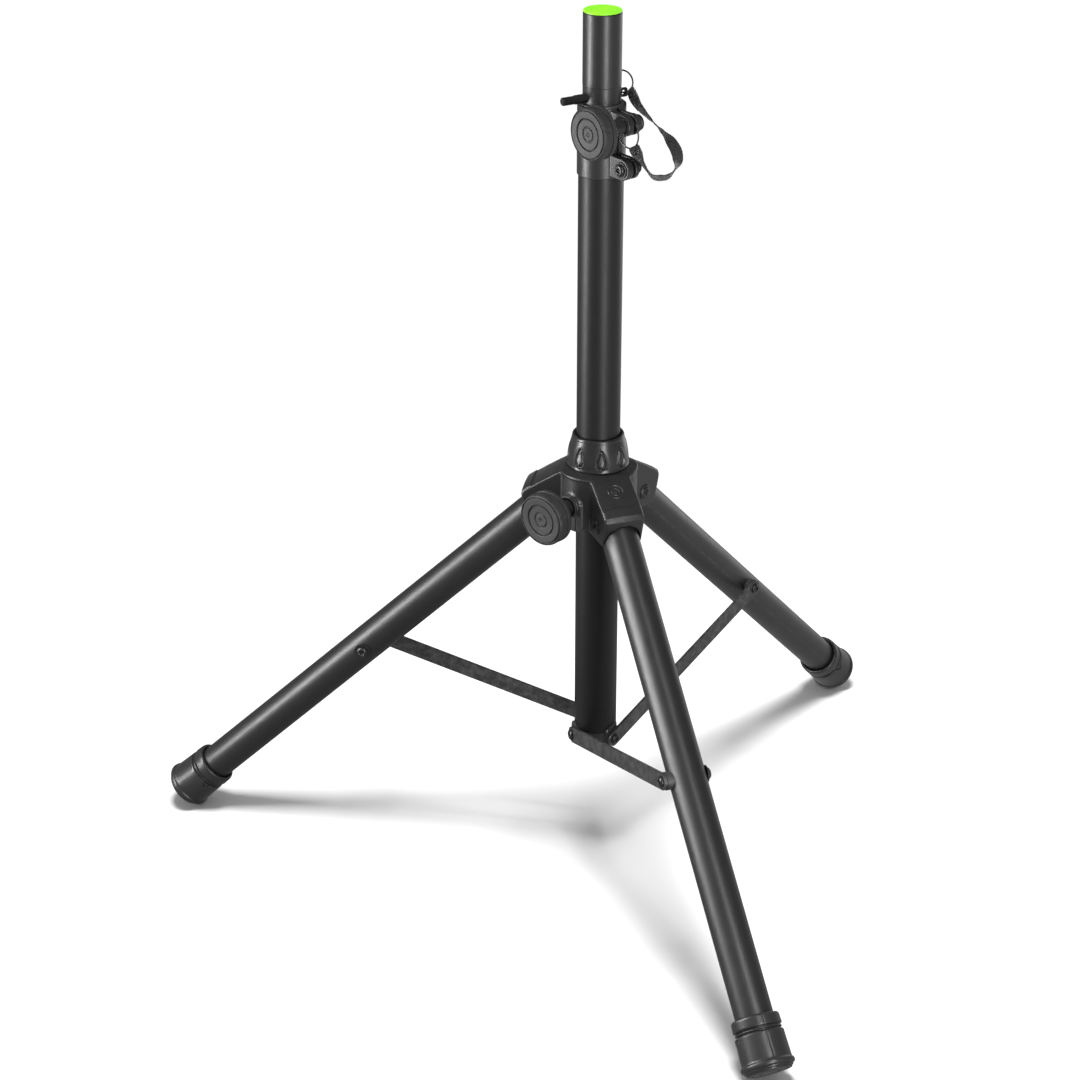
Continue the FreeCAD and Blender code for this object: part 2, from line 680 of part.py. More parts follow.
half = float(S.housing_half)
sections = []
for y, gap_in in ((-half, 1.4), (-half + 0.6, 0.6), (-half + 1.5, 0.2), (-half + 3.0, 0.0), (-10.0, -0.5), (0.0, -0.8),
                  (10.0, -0.5), (half - 3.0, 0.0), (half - 1.5, 0.2), (half - 0.6, 0.6), (half, 1.4)):
    pts = drawn_in(SIDE, gap_in)
    sections.append(Part.makePolygon([Vector(x, y, z) for x, z in pts + pts[:1]]))
housing_shape = Part.makeLoft(sections, True, True)

core = Part.makeCylinder(float(S.hub_core_rad), float(S.hub_head - S.hub_foot), Vector(0, 0, float(S.hub_foot)))
web = Part.makeCylinder(37.4, 50.5, Vector(0, 0, float(hh) - 54.5))
edge = Part.makeCone(37.4, 38.3, 1.0, Vector(0, 0, float(hh) - 5.0))
rim = Part.makeCone(38.3, 37.4, 1.0, Vector(0, 0, float(hh) - 4.0))
roof = Part.makeCone(37.4, 29.6, 3.0, Vector(0, 0, float(hh) - 3.0))
skirt = web.fuse([edge, rim, roof])
turn = lambda az: Placement(Vector(0, 0, 0), Rotation(Z, az)).toMatrix()
# the skirt drops to the slope of each housing's roof
above_roof = [
    (22.0, top_z + 0.3), (24.0, top_z - 0.1), (30.0, top_z - 1.6), (38.0, top_z - 5.9), (46.0, top_z - 11.0),
    (46.0, top_z + 4.0), (22.0, top_z + 4.0),
]
trim = Part.Face(Part.makePolygon([Vector(x, -half, z) for x, z in above_roof + above_roof[:1]])).extrude(Vector(0, 2 * half, 0))
skirt = skirt.cut([trim.transformed(turn(az)) for _, az in LEGS])
shape = core.fuse(skirt)
for _, az in LEGS:
    shape = shape.fuse(housing_shape.transformed(turn(az)))
# flat pad and round boss that carry the knob's threaded insert
pad_box = Part.makeBox(14.0, 21.0, float(S.hub_knob_level - S.hub_foot) - 1.0, Vector(24.0, -10.5, float(S.hub_foot) + 1.0))
pad_top = cyl(10.5, 14.0, (24.0, 0, S.hub_knob_level), (1, 0, 0))
boss = cyl(9.0, 17.5, (24.0, 0, S.hub_knob_level), (1, 0, 0))
shape = shape.fuse([p.transformed(turn(KNOB_AZ)) for p in (pad_box, pad_top, boss)])
# slot and swing room for each leg
P = (float(S.pivot_reach), float(S.pivot_level))
tilt = math.radians(float(S.leg_tilt))
d = (math.sin(tilt), -math.cos(tilt))
gap = float(S.cheek_gap)
clear = 28.2
inner = [
    (clear, 330.0), (clear, 397.0), (34.0, 402.5), (44.0, 402.0), (54.0, 397.2), (60.6, 392.9), (65.6, 386.4),
    (66.0, 379.0), (63.5, 361.0), (P[0] + d[0] * 60, 335.0), (P[0] + d[0] * 60, 330.0),
]
wire = Part.makePolygon([Vector(x, -gap, z) for x, z in inner + inner[:1]])
slot = Part.Face(wire).extrude(Vector(0, 2 * gap, 0))
rise = 1.6
tunnel = cyl(gap, 90.0, (P[0] - d[0] * 5 - d[1] * rise, 0, P[1] - d[1] * 5 + d[0] * rise), (d[0], 0, d[1]))
keep = Part.makeBox(200.0, 120.0, 200.0, Vector(clear, -60.0, 300.0))
cutter = slot.fuse(tunnel.common(keep))
bores = []
for _, az in LEGS:
    bores.append(cutter.transformed(turn(az)))
    bores.append(cyl(4.06, 120.0, (P[0], -60.0, P[1]), (0, 1, 0)).common(
        Part.makeBox(80, 60, 80, Vector(8, -30, 330))).transformed(turn(az)))
bores.append(Part.makeCylinder(float(S.hub_bore), 120.0, Vector(0, 0, 320.0)))
bores.append(Part.makeCylinder(30.2, 6.0, Vector(0, 0, top_z)))
bores.append(cyl(7.0, 60.0, (18.0, 0, S.hub_knob_level), (1, 0, 0)).transformed(turn(KNOB_AZ)))
shape = shape.cut(bores).removeSplitter()
casting = max(shape.Solids, key=lambda q: q.Volume)
print("hub solids", len(shape.Solids), [round(q.Volume) for q in shape.Solids])
solid_feature("hub_casting", casting)

turned("hub_bushing", [
    (S.mast_rad + 0.06, S.hub_foot + 0.5), (S.hub_bore - 0.02, S.hub_foot + 0.5),
    (S.hub_bore - 0.02, S.hub_head - 1.0), (S.mast_rad + 0.06, S.hub_head - 1.0),
])
b = [o for o in nodes if o.Label == "hub_bushing"][0]
s = sketch(b, "pad_window", "YZ_Plane")
ring(s, 7.0, 0.0, S.hub_knob_level)
pocket(b, s, "PadWindow", length=40.0, mid=False, back=True)
b.Placement = about_z(KNOB_AZ)

crown = body("crown_ring")
s = sketch(crown, "crown_profile")
loop(s, [
    (22.4, S.hub_head), (S.crown_low_rad - 0.5, S.hub_head), (S.crown_low_rad, S.hub_head + 1.2),
    (S.crown_low_rad - 1.2, S.hub_head + 12.0), (S.crown_low_rad - 2.8, S.hub_head + 21.0),
    (S.crown_top_rad + 0.9, S.crown_head - 1.6), (S.crown_top_rad - 0.4, S.crown_head - 0.2),
    (S.crown_top_rad - 1.4, S.crown_head), (21.1, S.crown_head - 1.6), (21.1, S.crown_head - 9.0), (22.4, S.crown_head - 10.0),
])
revolve(crown, s)
# eight drop-shaped finger recesses
s = sketch(crown, "drop", "YZ_Plane", offset=26.9)
mid_z = S.hub_head + 13.5
loop(s, [
    (-3.0, mid_z - 7.0), (-1.6, mid_z - 9.2), (1.6, mid_z - 9.2), (3.0, mid_z - 7.0), (3.2, mid_z - 3.0),
    (2.2, mid_z + 4.0), (0.5, mid_z + 9.6), (-0.5, mid_z + 9.6), (-2.2, mid_z + 4.0), (-3.2, mid_z - 3.0),
])
n = pocket(crown, s, "Drop", length=6.0, mid=False, back=True)
polar(crown, [n], 8, "EightDrops")
crown.Placement = about_z(KNOB_AZ)
node(crown, "crown_ring")

src = bolt("pivot_bolt_form", S.pivot_bolt_rad, 2.0 * 20.0 + 3.5, 6.0, 1.6, 2.6)
doc.recompute()
group("leg_pivot_bolts", src, [
    along(az, S.pivot_reach, -20.05, S.pivot_level, (0, -1, 0)) for _, az in LEGS
])
nut_form = turned("pivot_nut_form", [(4.05, 0.0), (6.6, 0.0), (6.6, 2.6), (5.8, 3.4), (4.05, 3.4)], register=False)
doc.recompute()
group("leg_pivot_nuts", nut_form, [
    along(az, S.pivot_reach, 20.05, S.pivot_level, (0, 1, 0)) for _, az in LEGS
])

turned("hub_knob_insert", [
    (5.06, 27.6), (6.95, 27.6), (6.95, 41.55), (9.3, 41.55), (9.3, 43.2), (8.2, 43.6), (5.06, 43.6),
], along(KNOB_AZ, 0, 0, S.hub_knob_level, (1, 0, 0)))

# brake pad between the stud's end and the mast, hollowed to the mast's radius
mast_keep = Part.makeCylinder(float(S.mast_rad) + 0.06, 60.0, Vector(0, 0, float(S.hub_knob_level) - 30.0))
pad_shape = cyl(6.8, 24.8 - 18.0, (18.0, 0, S.hub_knob_level), (1, 0, 0)).cut(mast_keep)
solid_feature("hub_brake_pad", max(pad_shape.Solids, key=lambda q: q.Volume).transformed(turn(KNOB_AZ)))

# ---------------------------------------------------------------- legs, feet and struts
leg_rot = 180.0 - float(S.leg_tilt)


def on_leg(az):
    return about_z(az).multiply(
        Placement(Vector(float(S.pivot_reach), 0, float(S.pivot_level)), Rotation(Vector(0, 1, 0), leg_rot))
    )


for name, az in LEGS:
    leg = body("leg_tube_" + name)
    s = sketch(leg, "leg_section_" + name)
    loop(s, [(S.leg_bore, -S.leg_top), (S.leg_rad, -S.leg_top), (S.leg_rad, S.leg_end), (S.leg_bore, S.leg_end)])
    revolve(leg, s)
    s = sketch(leg, "leg_holes_" + name)
    ring(s, S.pivot_bolt_rad + 0.06)
    ring(s, S.brace_bolt_rad + 0.05, 0.0, S.brace_at)
    pocket(leg, s, "BoltHoles", mid=True)
    leg.Placement = on_leg(az)
    node(leg, "leg_tube_" + name)

    plug = body("leg_plug_" + name)
    s = sketch(plug, "plug_section_" + name)
    loop(s, [
        (0.0, -S.leg_top), (S.leg_bore - 0.02, -S.leg_top), (S.leg_bore - 0.02, 14.0), (9.0, 14.0), (9.0, 7.5), (0.0, 7.5),
    ])
    revolve(plug, s)
    s = sketch(plug, "plug_hole_" + name)
    ring(s, S.pivot_bolt_rad + 0.06)
    pocket(plug, s, "BoltHole", mid=True)
    plug.Placement = on_leg(az)
    node(plug, "leg_plug_" + name)

    t0, lip = S.boot_top, S.boot_lip
    turned("foot_boot_" + name, [
        (S.leg_rad, t0), (20.6, t0), (21.9, t0 + 1.4), (22.3, t0 + 10.6), (21.0, t0 + 11.8), (21.2, t0 + 12.6),
        (20.9, t0 + 13.8), (22.4, t0 + 14.8), (S.boot_rad, lip - 5.6), (S.boot_rad + 0.6, lip - 4.4),
        (S.boot_lip_rad, lip - 3.2), (S.boot_lip_rad, lip), (22.9, lip + 1.9), (20.4, S.boot_sole),
        (0.0, S.boot_sole), (0.0, S.leg_end), (S.leg_rad, S.leg_end),
    ], on_leg(az))

    # spacer between the leg and its strut, saddled to the tube
    at = (float(S.pivot_reach) + d[0] * float(S.brace_at), float(S.pivot_level) + d[1] * float(S.brace_at))
    blank = cyl(S.spacer_rad, float(S.spacer_face) - 12.0, (at[0], -float(S.spacer_face), at[1]), (0, 1, 0))
    tube = cyl(S.leg_rad, 80.0, (at[0] - d[0] * 40, 0, at[1] - d[1] * 40), (d[0], 0, d[1]))
    shank = cyl(S.brace_bolt_rad + 0.05, 40.0, (at[0], -40.0, at[1]), (0, 1, 0))
    spacer = blank.cut(tube).cut(shank)
    solid_feature("strut_spacer_" + name, spacer.transformed(turn(az)))

    # cross bolt: threaded into the spacer side, head and washer on the other side of the leg
    bolt("leg_cross_bolt_" + name, S.brace_bolt_rad, 19.0 + 21.9, 5.5, 3.4, 2.3, register=True,
         place=along(az, at[0], 19.0, at[1], (0, 1, 0)))
    turned("leg_washer_" + name, [(S.brace_bolt_rad + 0.05, 0.0), (8.0, 0.0), (8.0, 1.3), (S.brace_bolt_rad + 0.05, 1.3)],
           along(az, at[0], 17.6, at[1], (0, 1, 0)))

    bar = body("strut_bar_" + name)
    s = sketch(bar, "bar_mid_" + name, offset=S.strut_in)
    w = S.strut_half
    loop(s, [(0.0, -w), (S.strut_len, -w), (S.strut_len, w), (0.0, w)])
    pad(bar, s, S.strut_thick, "Bar")
    for k, x in enumerate((dim(0.0), S.strut_len)):
        s = sketch(bar, "bar_end_%d_%s" % (k, name), offset=S.strut_in)
        ring(s, w, x, 0.0)
        pad(bar, s, S.strut_thick, "End%d" % k)
    s = sketch(bar, "bar_holes_" + name)
    ring(s, S.brace_bolt_rad + 0.03)
    ring(s, S.brace_bolt_rad + 0.05, S.strut_len, 0.0)
    pocket(bar, s, "Holes", mid=True)
    bar.Placement = about_z(az).multiply(
        Placement(Vector(0, 0, float(S.strut_level)), Rotation(Vector(0, 1, 0), -float(S.strut_angle)))
    )
    node(bar, "strut_bar_" + name)
    end = (float(S.strut_len) * math.cos(math.radians(float(S.strut_angle))),
           float(S.strut_level) + float(S.strut_len) * math.sin(math.radians(float(S.strut_angle))))
    bolt("strut_outer_bolt_" + name, S.brace_bolt_rad, float(S.strut_thick) - 0.1, 5.4, 2.5, 2.2, register=True,
         place=along(az, end[0], -float(strut_face) - 0.02, end[1], (0, -1, 0)))

# ---------------------------------------------------------------- check and write
doc.recompute()
bad = [o.Name for o in doc.Objects if "Invalid" in o.State or "Error" in o.State]
if bad:
    raise RuntimeError("failed objects: %s" % bad)
os.makedirs("parts", exist_ok=True)
low = 1e9
for o in nodes:
    shape = o.Shape
    if shape.isNull() or not shape.isValid() or not shape.Solids:
        raise RuntimeError("bad shape: %s" % o.Label)
    low = min(low, shape.BoundBox.ZMin)
for o in nodes:
    o.Shape.exportStep("parts/%s.step" % o.Label)
print("nodes", len(nodes), "lowest", round(low, 3))
for o in nodes:
    print(o.Label, len(o.Shape.Solids), round(o.Shape.Volume / 1000.0, 2))
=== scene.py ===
import json
import math
import bmesh
import bpy
from mathutils import Matrix, Vector


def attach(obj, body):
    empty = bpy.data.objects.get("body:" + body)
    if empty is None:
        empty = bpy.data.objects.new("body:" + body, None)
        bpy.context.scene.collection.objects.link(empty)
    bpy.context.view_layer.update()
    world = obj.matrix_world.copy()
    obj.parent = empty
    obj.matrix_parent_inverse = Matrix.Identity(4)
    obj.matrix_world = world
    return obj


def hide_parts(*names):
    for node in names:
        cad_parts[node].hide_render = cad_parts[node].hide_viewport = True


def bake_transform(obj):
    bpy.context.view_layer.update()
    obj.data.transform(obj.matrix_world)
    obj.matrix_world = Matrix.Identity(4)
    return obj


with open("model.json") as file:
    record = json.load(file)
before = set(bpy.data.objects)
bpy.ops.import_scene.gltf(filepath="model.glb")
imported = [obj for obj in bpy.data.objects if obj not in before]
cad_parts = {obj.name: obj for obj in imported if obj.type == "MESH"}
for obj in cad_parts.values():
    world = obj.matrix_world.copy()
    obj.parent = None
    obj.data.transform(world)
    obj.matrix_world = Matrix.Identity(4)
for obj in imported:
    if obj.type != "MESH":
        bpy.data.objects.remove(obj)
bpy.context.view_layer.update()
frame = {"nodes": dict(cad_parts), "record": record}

scene = bpy.context.scene
scene.view_settings.view_transform = "Standard"
scene.view_settings.look = "None"
MM = 0.001
LEGS = (("front", -90.0), ("right", 30.0), ("left", 150.0))
KNOB_AZ, LUG_AZ = -150.0, -70.0
UP = Vector((0, 0, 1))


def rad(a):
    return math.radians(a)


def az(a):
    return Vector((math.cos(rad(a)), math.sin(rad(a)), 0.0))


# ------------------------------------------------------------------ camera
EYE = Vector((-0.819336, -2.103603, 1.431687))
ahead = Vector((0.30606, 0.84603, -0.43653)).normalized()
right = ahead.cross(UP).normalized()
above = right.cross(ahead)
cam_data = bpy.data.cameras.new("camera")
cam = bpy.data.objects.new("camera", cam_data)
scene.collection.objects.link(cam)
cam.matrix_world = Matrix((
    (right.x, above.x, -ahead.x, EYE.x), (right.y, above.y, -ahead.y, EYE.y),
    (right.z, above.z, -ahead.z, EYE.z), (0, 0, 0, 1)))
cam_data.sensor_width = 36.0
cam_data.lens = 87.112
cam_data.clip_start, cam_data.clip_end = 0.05, 100.0
scene.camera = cam


# ------------------------------------------------------------------ materials
class Nodes:
    """Short hand for building one node material."""

    def __init__(self, name):
        self.mat = bpy.data.materials.new(name)
        self.mat.use_nodes = True
        self.nt = self.mat.node_tree
        self.bsdf = self.nt.nodes["Principled BSDF"]
        self.out = self.nt.nodes["Material Output"]
        self.tc = self.nt.nodes.new("ShaderNodeTexCoord")

    def new(self, kind, **kw):
        n = self.nt.nodes.new(kind)
        for k, v in kw.items():
            setattr(n, k, v)
        return n

    def link(self, a, b):
        self.nt.links.new(a, b)

    def place(self, scale=(1, 1, 1), rotation=(0, 0, 0)):
        m = self.new("ShaderNodeMapping")
        m.inputs["Scale"].default_value = scale
        m.inputs["Rotation"].default_value = rotation
        self.link(self.tc.outputs["Object"], m.inputs["Vector"])
        return m.outputs["Vector"]

    def noise(self, scale, detail=3.0, rough=0.55, vec=None, distort=0.0):
        n = self.new("ShaderNodeTexNoise")
        n.inputs["Scale"].default_value = scale
        n.inputs["Detail"].default_value = detail
        n.inputs["Roughness"].default_value = rough
        n.inputs["Distortion"].default_value = distort
        self.link(vec if vec is not None else self.tc.outputs["Object"], n.inputs["Vector"])
        return n.outputs["Fac"]

    def voronoi(self, scale, feature="F1", vec=None):
        n = self.new("ShaderNodeTexVoronoi", feature=feature)
        n.inputs["Scale"].default_value = scale
        self.link(vec if vec is not None else self.tc.outputs["Object"], n.inputs["Vector"])
        return n.outputs["Distance"]

    def span(self, fac, low, high, a=0.3, b=0.7):
        n = self.new("ShaderNodeMapRange")
        n.inputs["From Min"].default_value = a
        n.inputs["From Max"].default_value = b
        n.inputs["To Min"].default_value = low
        n.inputs["To Max"].default_value = high
        self.link(fac, n.inputs["Value"])
        return n.outputs["Result"]

    def ramp(self, fac, stops):
        n = self.new("ShaderNodeValToRGB")
        el = n.color_ramp.elements
        while len(el) < len(stops):
            el.new(0.5)
        for e, (pos, col) in zip(el, stops):
            e.position = pos
            e.color = (col[0], col[1], col[2], 1.0)
        self.link(fac, n.inputs["Fac"])
        return n.outputs["Color"]

    def math(self, op, a, b=None):
        n = self.new("ShaderNodeMath", operation=op)
        for i, v in enumerate((a, b)):
            if v is None:
                continue
            if isinstance(v, (int, float)):
                n.inputs[i].default_value = v
            else:
                self.link(v, n.inputs[i])
        return n.outputs[0]

    def mix(self, fac, a, b):
        n = self.new("ShaderNodeMix", data_type="RGBA")
        self.link(fac, n.inputs[0])
        for sock, v in ((n.inputs[6], a), (n.inputs[7], b)):
            if isinstance(v, tuple):
                sock.default_value = (v[0], v[1], v[2], 1.0)
            else:
                self.link(v, sock)
        return n.outputs[2]

    def bump(self, height, distance, strength=1.0, normal=None):
        n = self.new("ShaderNodeBump")
        n.inputs["Strength"].default_value = strength
        n.inputs["Distance"].default_value = distance
        self.link(height, n.inputs["Height"])
        if normal is not None:
            self.link(normal, n.inputs["Normal"])
        return n.outputs["Normal"]

    def set(self, **kw):
        for k, v in kw.items():
            sock = self.bsdf.inputs[k.replace("_", " ")]
            if isinstance(v, tuple):
                sock.default_value = (v[0], v[1], v[2], 1.0) if len(sock.default_value) == 4 else v
            elif isinstance(v, (int, float)):
                sock.default_value = v
            else:
                self.link(v, sock)


def grey(v, tint=(1.0, 1.0, 1.0)):
    return (v * tint[0], v * tint[1], v * tint[2])


def powder_coat(name, base=0.0085, rough=(0.34, 0.42), peel=0.000018, spec=0.5):
    """Satin black powder coat: fine orange peel, dust specks, and sharp edges painted lighter in patches, partly worn
    coat and partly a painted edge highlight.
    """
    n = Nodes(name)
    cloud = n.noise(9.0, 5.0, 0.6)
    speck = n.voronoi(1900.0)
    dust = n.ramp(speck, [(0.0, grey(base * 2.1)), (0.09, grey(base))])
    tone = n.ramp(cloud, [(0.3, grey(base * 0.88)), (0.7, grey(base * 1.14, (1.0, 1.0, 1.02)))])
    speck_mask = n.span(n.noise(260.0, 2.0), 0.0, 1.0, 0.62, 0.72)
    colour = n.mix(speck_mask, tone, dust)
    # sharp edges painted lighter in noisy patches: partly worn coat, partly a painted highlight along the edges
    edge_pointiness = n.new("ShaderNodeNewGeometry").outputs["Pointiness"]
    edge = n.math("MULTIPLY", n.span(edge_pointiness, 0.0, 1.0, 0.54, 0.62), n.span(n.noise(140.0, 4.0, 0.7), 0.0, 1.0, 0.42, 0.62))
    colour = n.mix(edge, colour, grey(base * 2.6))
    n.set(Base_Color=colour, Specular_IOR_Level=spec,
          Roughness=n.span(n.noise(55.0, 6.0, 0.65), rough[0], rough[1]))
    fine = n.noise(1500.0, 2.0, 0.5)
    wave = n.noise(1.0, 2.0, 0.5, vec=n.place((480.0, 480.0, 900.0)))
    height = n.math("ADD", n.math("MULTIPLY", fine, 0.35), n.math("MULTIPLY", wave, 1.0))
    n.set(Normal=n.bump(height, peel, 1.0))
    return n.mat


def moulded(name, base=0.010, rough=(0.34, 0.42), grain=0.00003):
    """Moulded nylon: spark-eroded grain, faint flow marks, and sharp edges painted lighter as a painted highlight."""
    n = Nodes(name)
    flow = n.noise(1.0, 6.0, 0.62, vec=n.place((30.0, 30.0, 12.0)), distort=0.8)
    colour = n.ramp(flow, [(0.28, grey(base * 0.85)), (0.72, grey(base * 1.2))])
    # painted highlight: the sharp edges are painted lighter
    edge_pointiness = n.new("ShaderNodeNewGeometry").outputs["Pointiness"]
    edge = n.span(edge_pointiness, 0.0, 1.0, 0.515, 0.56)
    colour = n.mix(n.math("MULTIPLY", edge, 0.7), colour, grey(base * 2.2))
    n.set(Base_Color=colour, Specular_IOR_Level=0.5, Roughness=n.span(n.noise(90.0, 5.0, 0.6), rough[0], rough[1]))
    height = n.math("ADD", n.voronoi(1700.0), n.math("MULTIPLY", n.noise(2600.0, 2.0), 0.6))
    n.set(Normal=n.bump(height, grain, 0.9))
    return n.mat


def glossy_moulded(name, base=0.010):
    n = Nodes(name)
    colour = n.ramp(n.noise(25.0, 4.0), [(0.3, grey(base * 0.85)), (0.7, grey(base * 1.2))])
    n.set(Base_Color=colour, Roughness=n.span(n.noise(120.0, 5.0, 0.7), 0.27, 0.33), Specular_IOR_Level=0.5)
    height = n.math("ADD", n.noise(160.0, 2.0), n.math("MULTIPLY", n.noise(900.0, 1.0), 0.05))
    n.set(Normal=n.bump(height, 0.00003, 0.4))
    return n.mat


def rubber(name, base, rough=(0.42, 0.55), grain=0.00003, bloom=1.25):
    """Moulded rubber: matt bloom in patches, fine skin texture, a little dust low down."""
    n = Nodes(name)
    patch = n.noise(38.0, 6.0, 0.68)
    colour = n.ramp(patch, [(0.3, grey(base * 0.86)), (0.55, grey(base)), (0.78, grey(base * bloom, (1.02, 1.0, 0.98)))])
    scuff = n.span(n.noise(1.0, 5.0, 0.7, vec=n.place((900.0, 120.0, 120.0), (0.3, 0.2, 0.9))), 0.0, 0.5, 0.62, 0.74)
    colour = n.mix(scuff, colour, grey(base * 1.5))
    n.set(Base_Color=colour, Roughness=n.span(n.noise(70.0, 6.0, 0.7), rough[0], rough[1]), Specular_IOR_Level=0.42)
    height = n.math("ADD", n.noise(1300.0, 3.0, 0.6), n.math("MULTIPLY", n.voronoi(2300.0), 0.5))
    n.set(Normal=n.bump(height, grain, 0.9))
    return n.mat


def metal(name, base, rough=(0.25, 0.4), metallic=1.0, streak=(300.0, 300.0, 900.0)):
    n = Nodes(name)
    lines = n.noise(1.0, 4.0, 0.6, vec=n.place(streak))
    tone = n.ramp(n.noise(60.0, 5.0, 0.65), [(0.3, tuple(c * 0.82 for c in base)), (0.7, tuple(min(1.0, c * 1.15) for c in base))])
    n.set(Base_Color=tone, Metallic=metallic, Roughness=n.span(lines, rough[0], rough[1]))
    n.set(Normal=n.bump(lines, 0.000012, 0.8))
    return n.mat


def green_cap(name):
    n = Nodes(name)
    colour = n.ramp(n.noise(45.0, 5.0, 0.6), [(0.3, (0.150, 0.500, 0.012)), (0.7, (0.205, 0.640, 0.020))])
    n.set(Base_Color=colour, Roughness=n.span(n.noise(110.0, 4.0), 0.30, 0.42), Specular_IOR_Level=0.45,
          Subsurface_Weight=0.06, Subsurface_Scale=0.004)
    n.set(Normal=n.bump(n.noise(900.0, 3.0), 0.00003, 0.7))
    return n.mat


def webbing(name):
    """Woven nylon webbing: cross ribs and thread crossings follow the strap's own UV lines."""
    n = Nodes(name)
    uv = n.tc.outputs["UV"]
    weft = n.new("ShaderNodeTexWave", wave_type="BANDS", bands_direction="X")
    weft.inputs["Scale"].default_value = 62.0
    weft.inputs["Distortion"].default_value = 0.6
    weft.inputs["Detail"].default_value = 1.0
    n.link(uv, weft.inputs["Vector"])
    warp = n.new("ShaderNodeTexWave", wave_type="BANDS", bands_direction="Y")
    warp.inputs["Scale"].default_value = 7.0
    warp.inputs["Distortion"].default_value = 0.4
    n.link(uv, warp.inputs["Vector"])
    threads = n.math("MULTIPLY", weft.outputs["Fac"], warp.outputs["Fac"])
    colour = n.ramp(threads, [(0.05, grey(0.006)), (0.6, grey(0.020)), (0.95, grey(0.040, (1.0, 1.0, 1.03)))])
    fuzz = n.noise(2400.0, 3.0, 0.7)
    n.set(Base_Color=colour, Roughness=n.span(fuzz, 0.62, 0.85), Specular_IOR_Level=0.35, Sheen_Weight=0.35, Sheen_Roughness=0.4)
    height = n.math("ADD", threads, n.math("MULTIPLY", fuzz, 0.5))
    n.set(Normal=n.bump(height, 0.00012, 0.9))
    return n.mat


def painted_steel_bar(name):
    return powder_coat(name, base=0.016, rough=(0.40, 0.5), peel=0.00004)


M = {
    "tube_black": powder_coat("tube_black"),
    "leg_black": powder_coat("leg_powder_coat", rough=(0.37, 0.44), peel=0.000018),
    "moulded_black": moulded("moulded_black"),
    "crown_gloss": glossy_moulded("crown_gloss"),
    "foot_rubber": rubber("foot_rubber", 0.014, (0.30, 0.42)),
    "knob_grey": rubber("knob_grey", 0.0155, (0.50, 0.62), 0.00004, 1.12),
    "cap_green": green_cap("cap_green"),
    "webbing_black": webbing("webbing_black"),
    "wire_steel": metal("wire_steel", (0.060, 0.060, 0.062), (0.22, 0.34), 0.9),
    "nylon_black": moulded("nylon_black", 0.014, (0.42, 0.5)),
    "insert_brass": metal("insert_brass", (0.060, 0.052, 0.036), (0.3, 0.42)),
    "pin_steel": metal("pin_steel", (0.030, 0.030, 0.031), (0.28, 0.4), 0.7),
    "hardware_black": metal("hardware_black", (0.045, 0.045, 0.046), (0.24, 0.36), 0.8),
    "strut_black": painted_steel_bar("strut_black"),
    # painted shade: the mast's copy of the tube coat has a darker base colour than the pole's, so the lower tube reads
    # darker
    "mast_black": powder_coat("mast_powder_coat", 0.0055, (0.40, 0.46), spec=0.32),
}
M["strut_black"].name = "strut_powder_coat"
slot_of = {s["node"]: s["material_slot"] for s in frame["record"]["subparts"]}
body_of = {}
for b, names in frame["record"]["behaviour"]["bodies"].items():
    for nm in names:
        body_of[nm] = b
for nm, ob in frame["nodes"].items():
    m = M["strut_black"] if nm.startswith("strut_bar") else M[slot_of[nm]]
    if not ob.material_slots:
        ob.data.materials.append(m)
    for ms in ob.material_slots:
        ms.material = m


# ------------------------------------------------------------------ mesh helpers
def turn_z(a):
    return Matrix.Rotation(rad(a), 4, "Z")


def along(a, x, y, z, direction):
    """Local Z runs along a leg-frame direction from a leg-frame point, in millimetres."""
    q = UP.rotation_difference(Vector(direction)).to_matrix().to_4x4()
    return turn_z(a) @ Matrix.Translation(Vector((x, y, z)) * MM) @ q


def on_leg(a):
    return turn_z(a) @ Matrix.Translation(Vector((48.0, 0, 376.44)) * MM) @ Matrix.Rotation(rad(180.0 - 46.56), 4, "Y")


def soften(points, cut=0.5, steps=3, closed=False):
    """The profile with each corner replaced by a short smooth curve."""
    out = []
    n = len(points)
    for i in range(n):
        if not closed and i in (0, n - 1):
            out.append(points[i])
            continue
        a, p, b = (Vector(points[i - 1]), Vector(points[i]), Vector(points[(i + 1) % n]))
        la, lb = (p - a).length, (b - p).length
        c = min(cut, 0.42 * la, 0.42 * lb)
        p0, p1 = p + (a - p) * (c / la), p + (b - p) * (c / lb)
        for k in range(steps + 1):
            t = k / steps
            q = p0 * (1 - t) ** 2 + p * (2 * t * (1 - t)) + p1 * t ** 2
            out.append((q.x, q.y))
    return out


def divide(points, step):
    """The profile with no stretch longer than step."""
    out = [points[0]]
    for a, b in zip(points, points[1:]):
        d = math.hypot(b[0] - a[0], b[1] - a[1])
        k = max(1, int(math.ceil(d / step)))
        for i in range(1, k + 1):
            out.append((a[0] + (b[0] - a[0]) * i / k, a[1] + (b[1] - a[1]) * i / k))
    return out


def finish_mesh(name, bm, mat, matrix=None, weighted=True):
    bmesh.ops.remove_doubles(bm, verts=bm.verts, dist=1e-7)
    bmesh.ops.recalc_face_normals(bm, faces=bm.faces)
    me = bpy.data.meshes.new(name)
    bm.to_mesh(me)
    bm.free()
    if matrix is not None:
        me.transform(matrix)
    me.materials.append(mat)
    for p in me.polygons:
        p.use_smooth = True
    ob = bpy.data.objects.new(name, me)
    scene.collection.objects.link(ob)
    if weighted:
        w = ob.modifiers.new("weighted", "WEIGHTED_NORMAL")
        w.keep_sharp = True
        w.weight = 80
    return ob


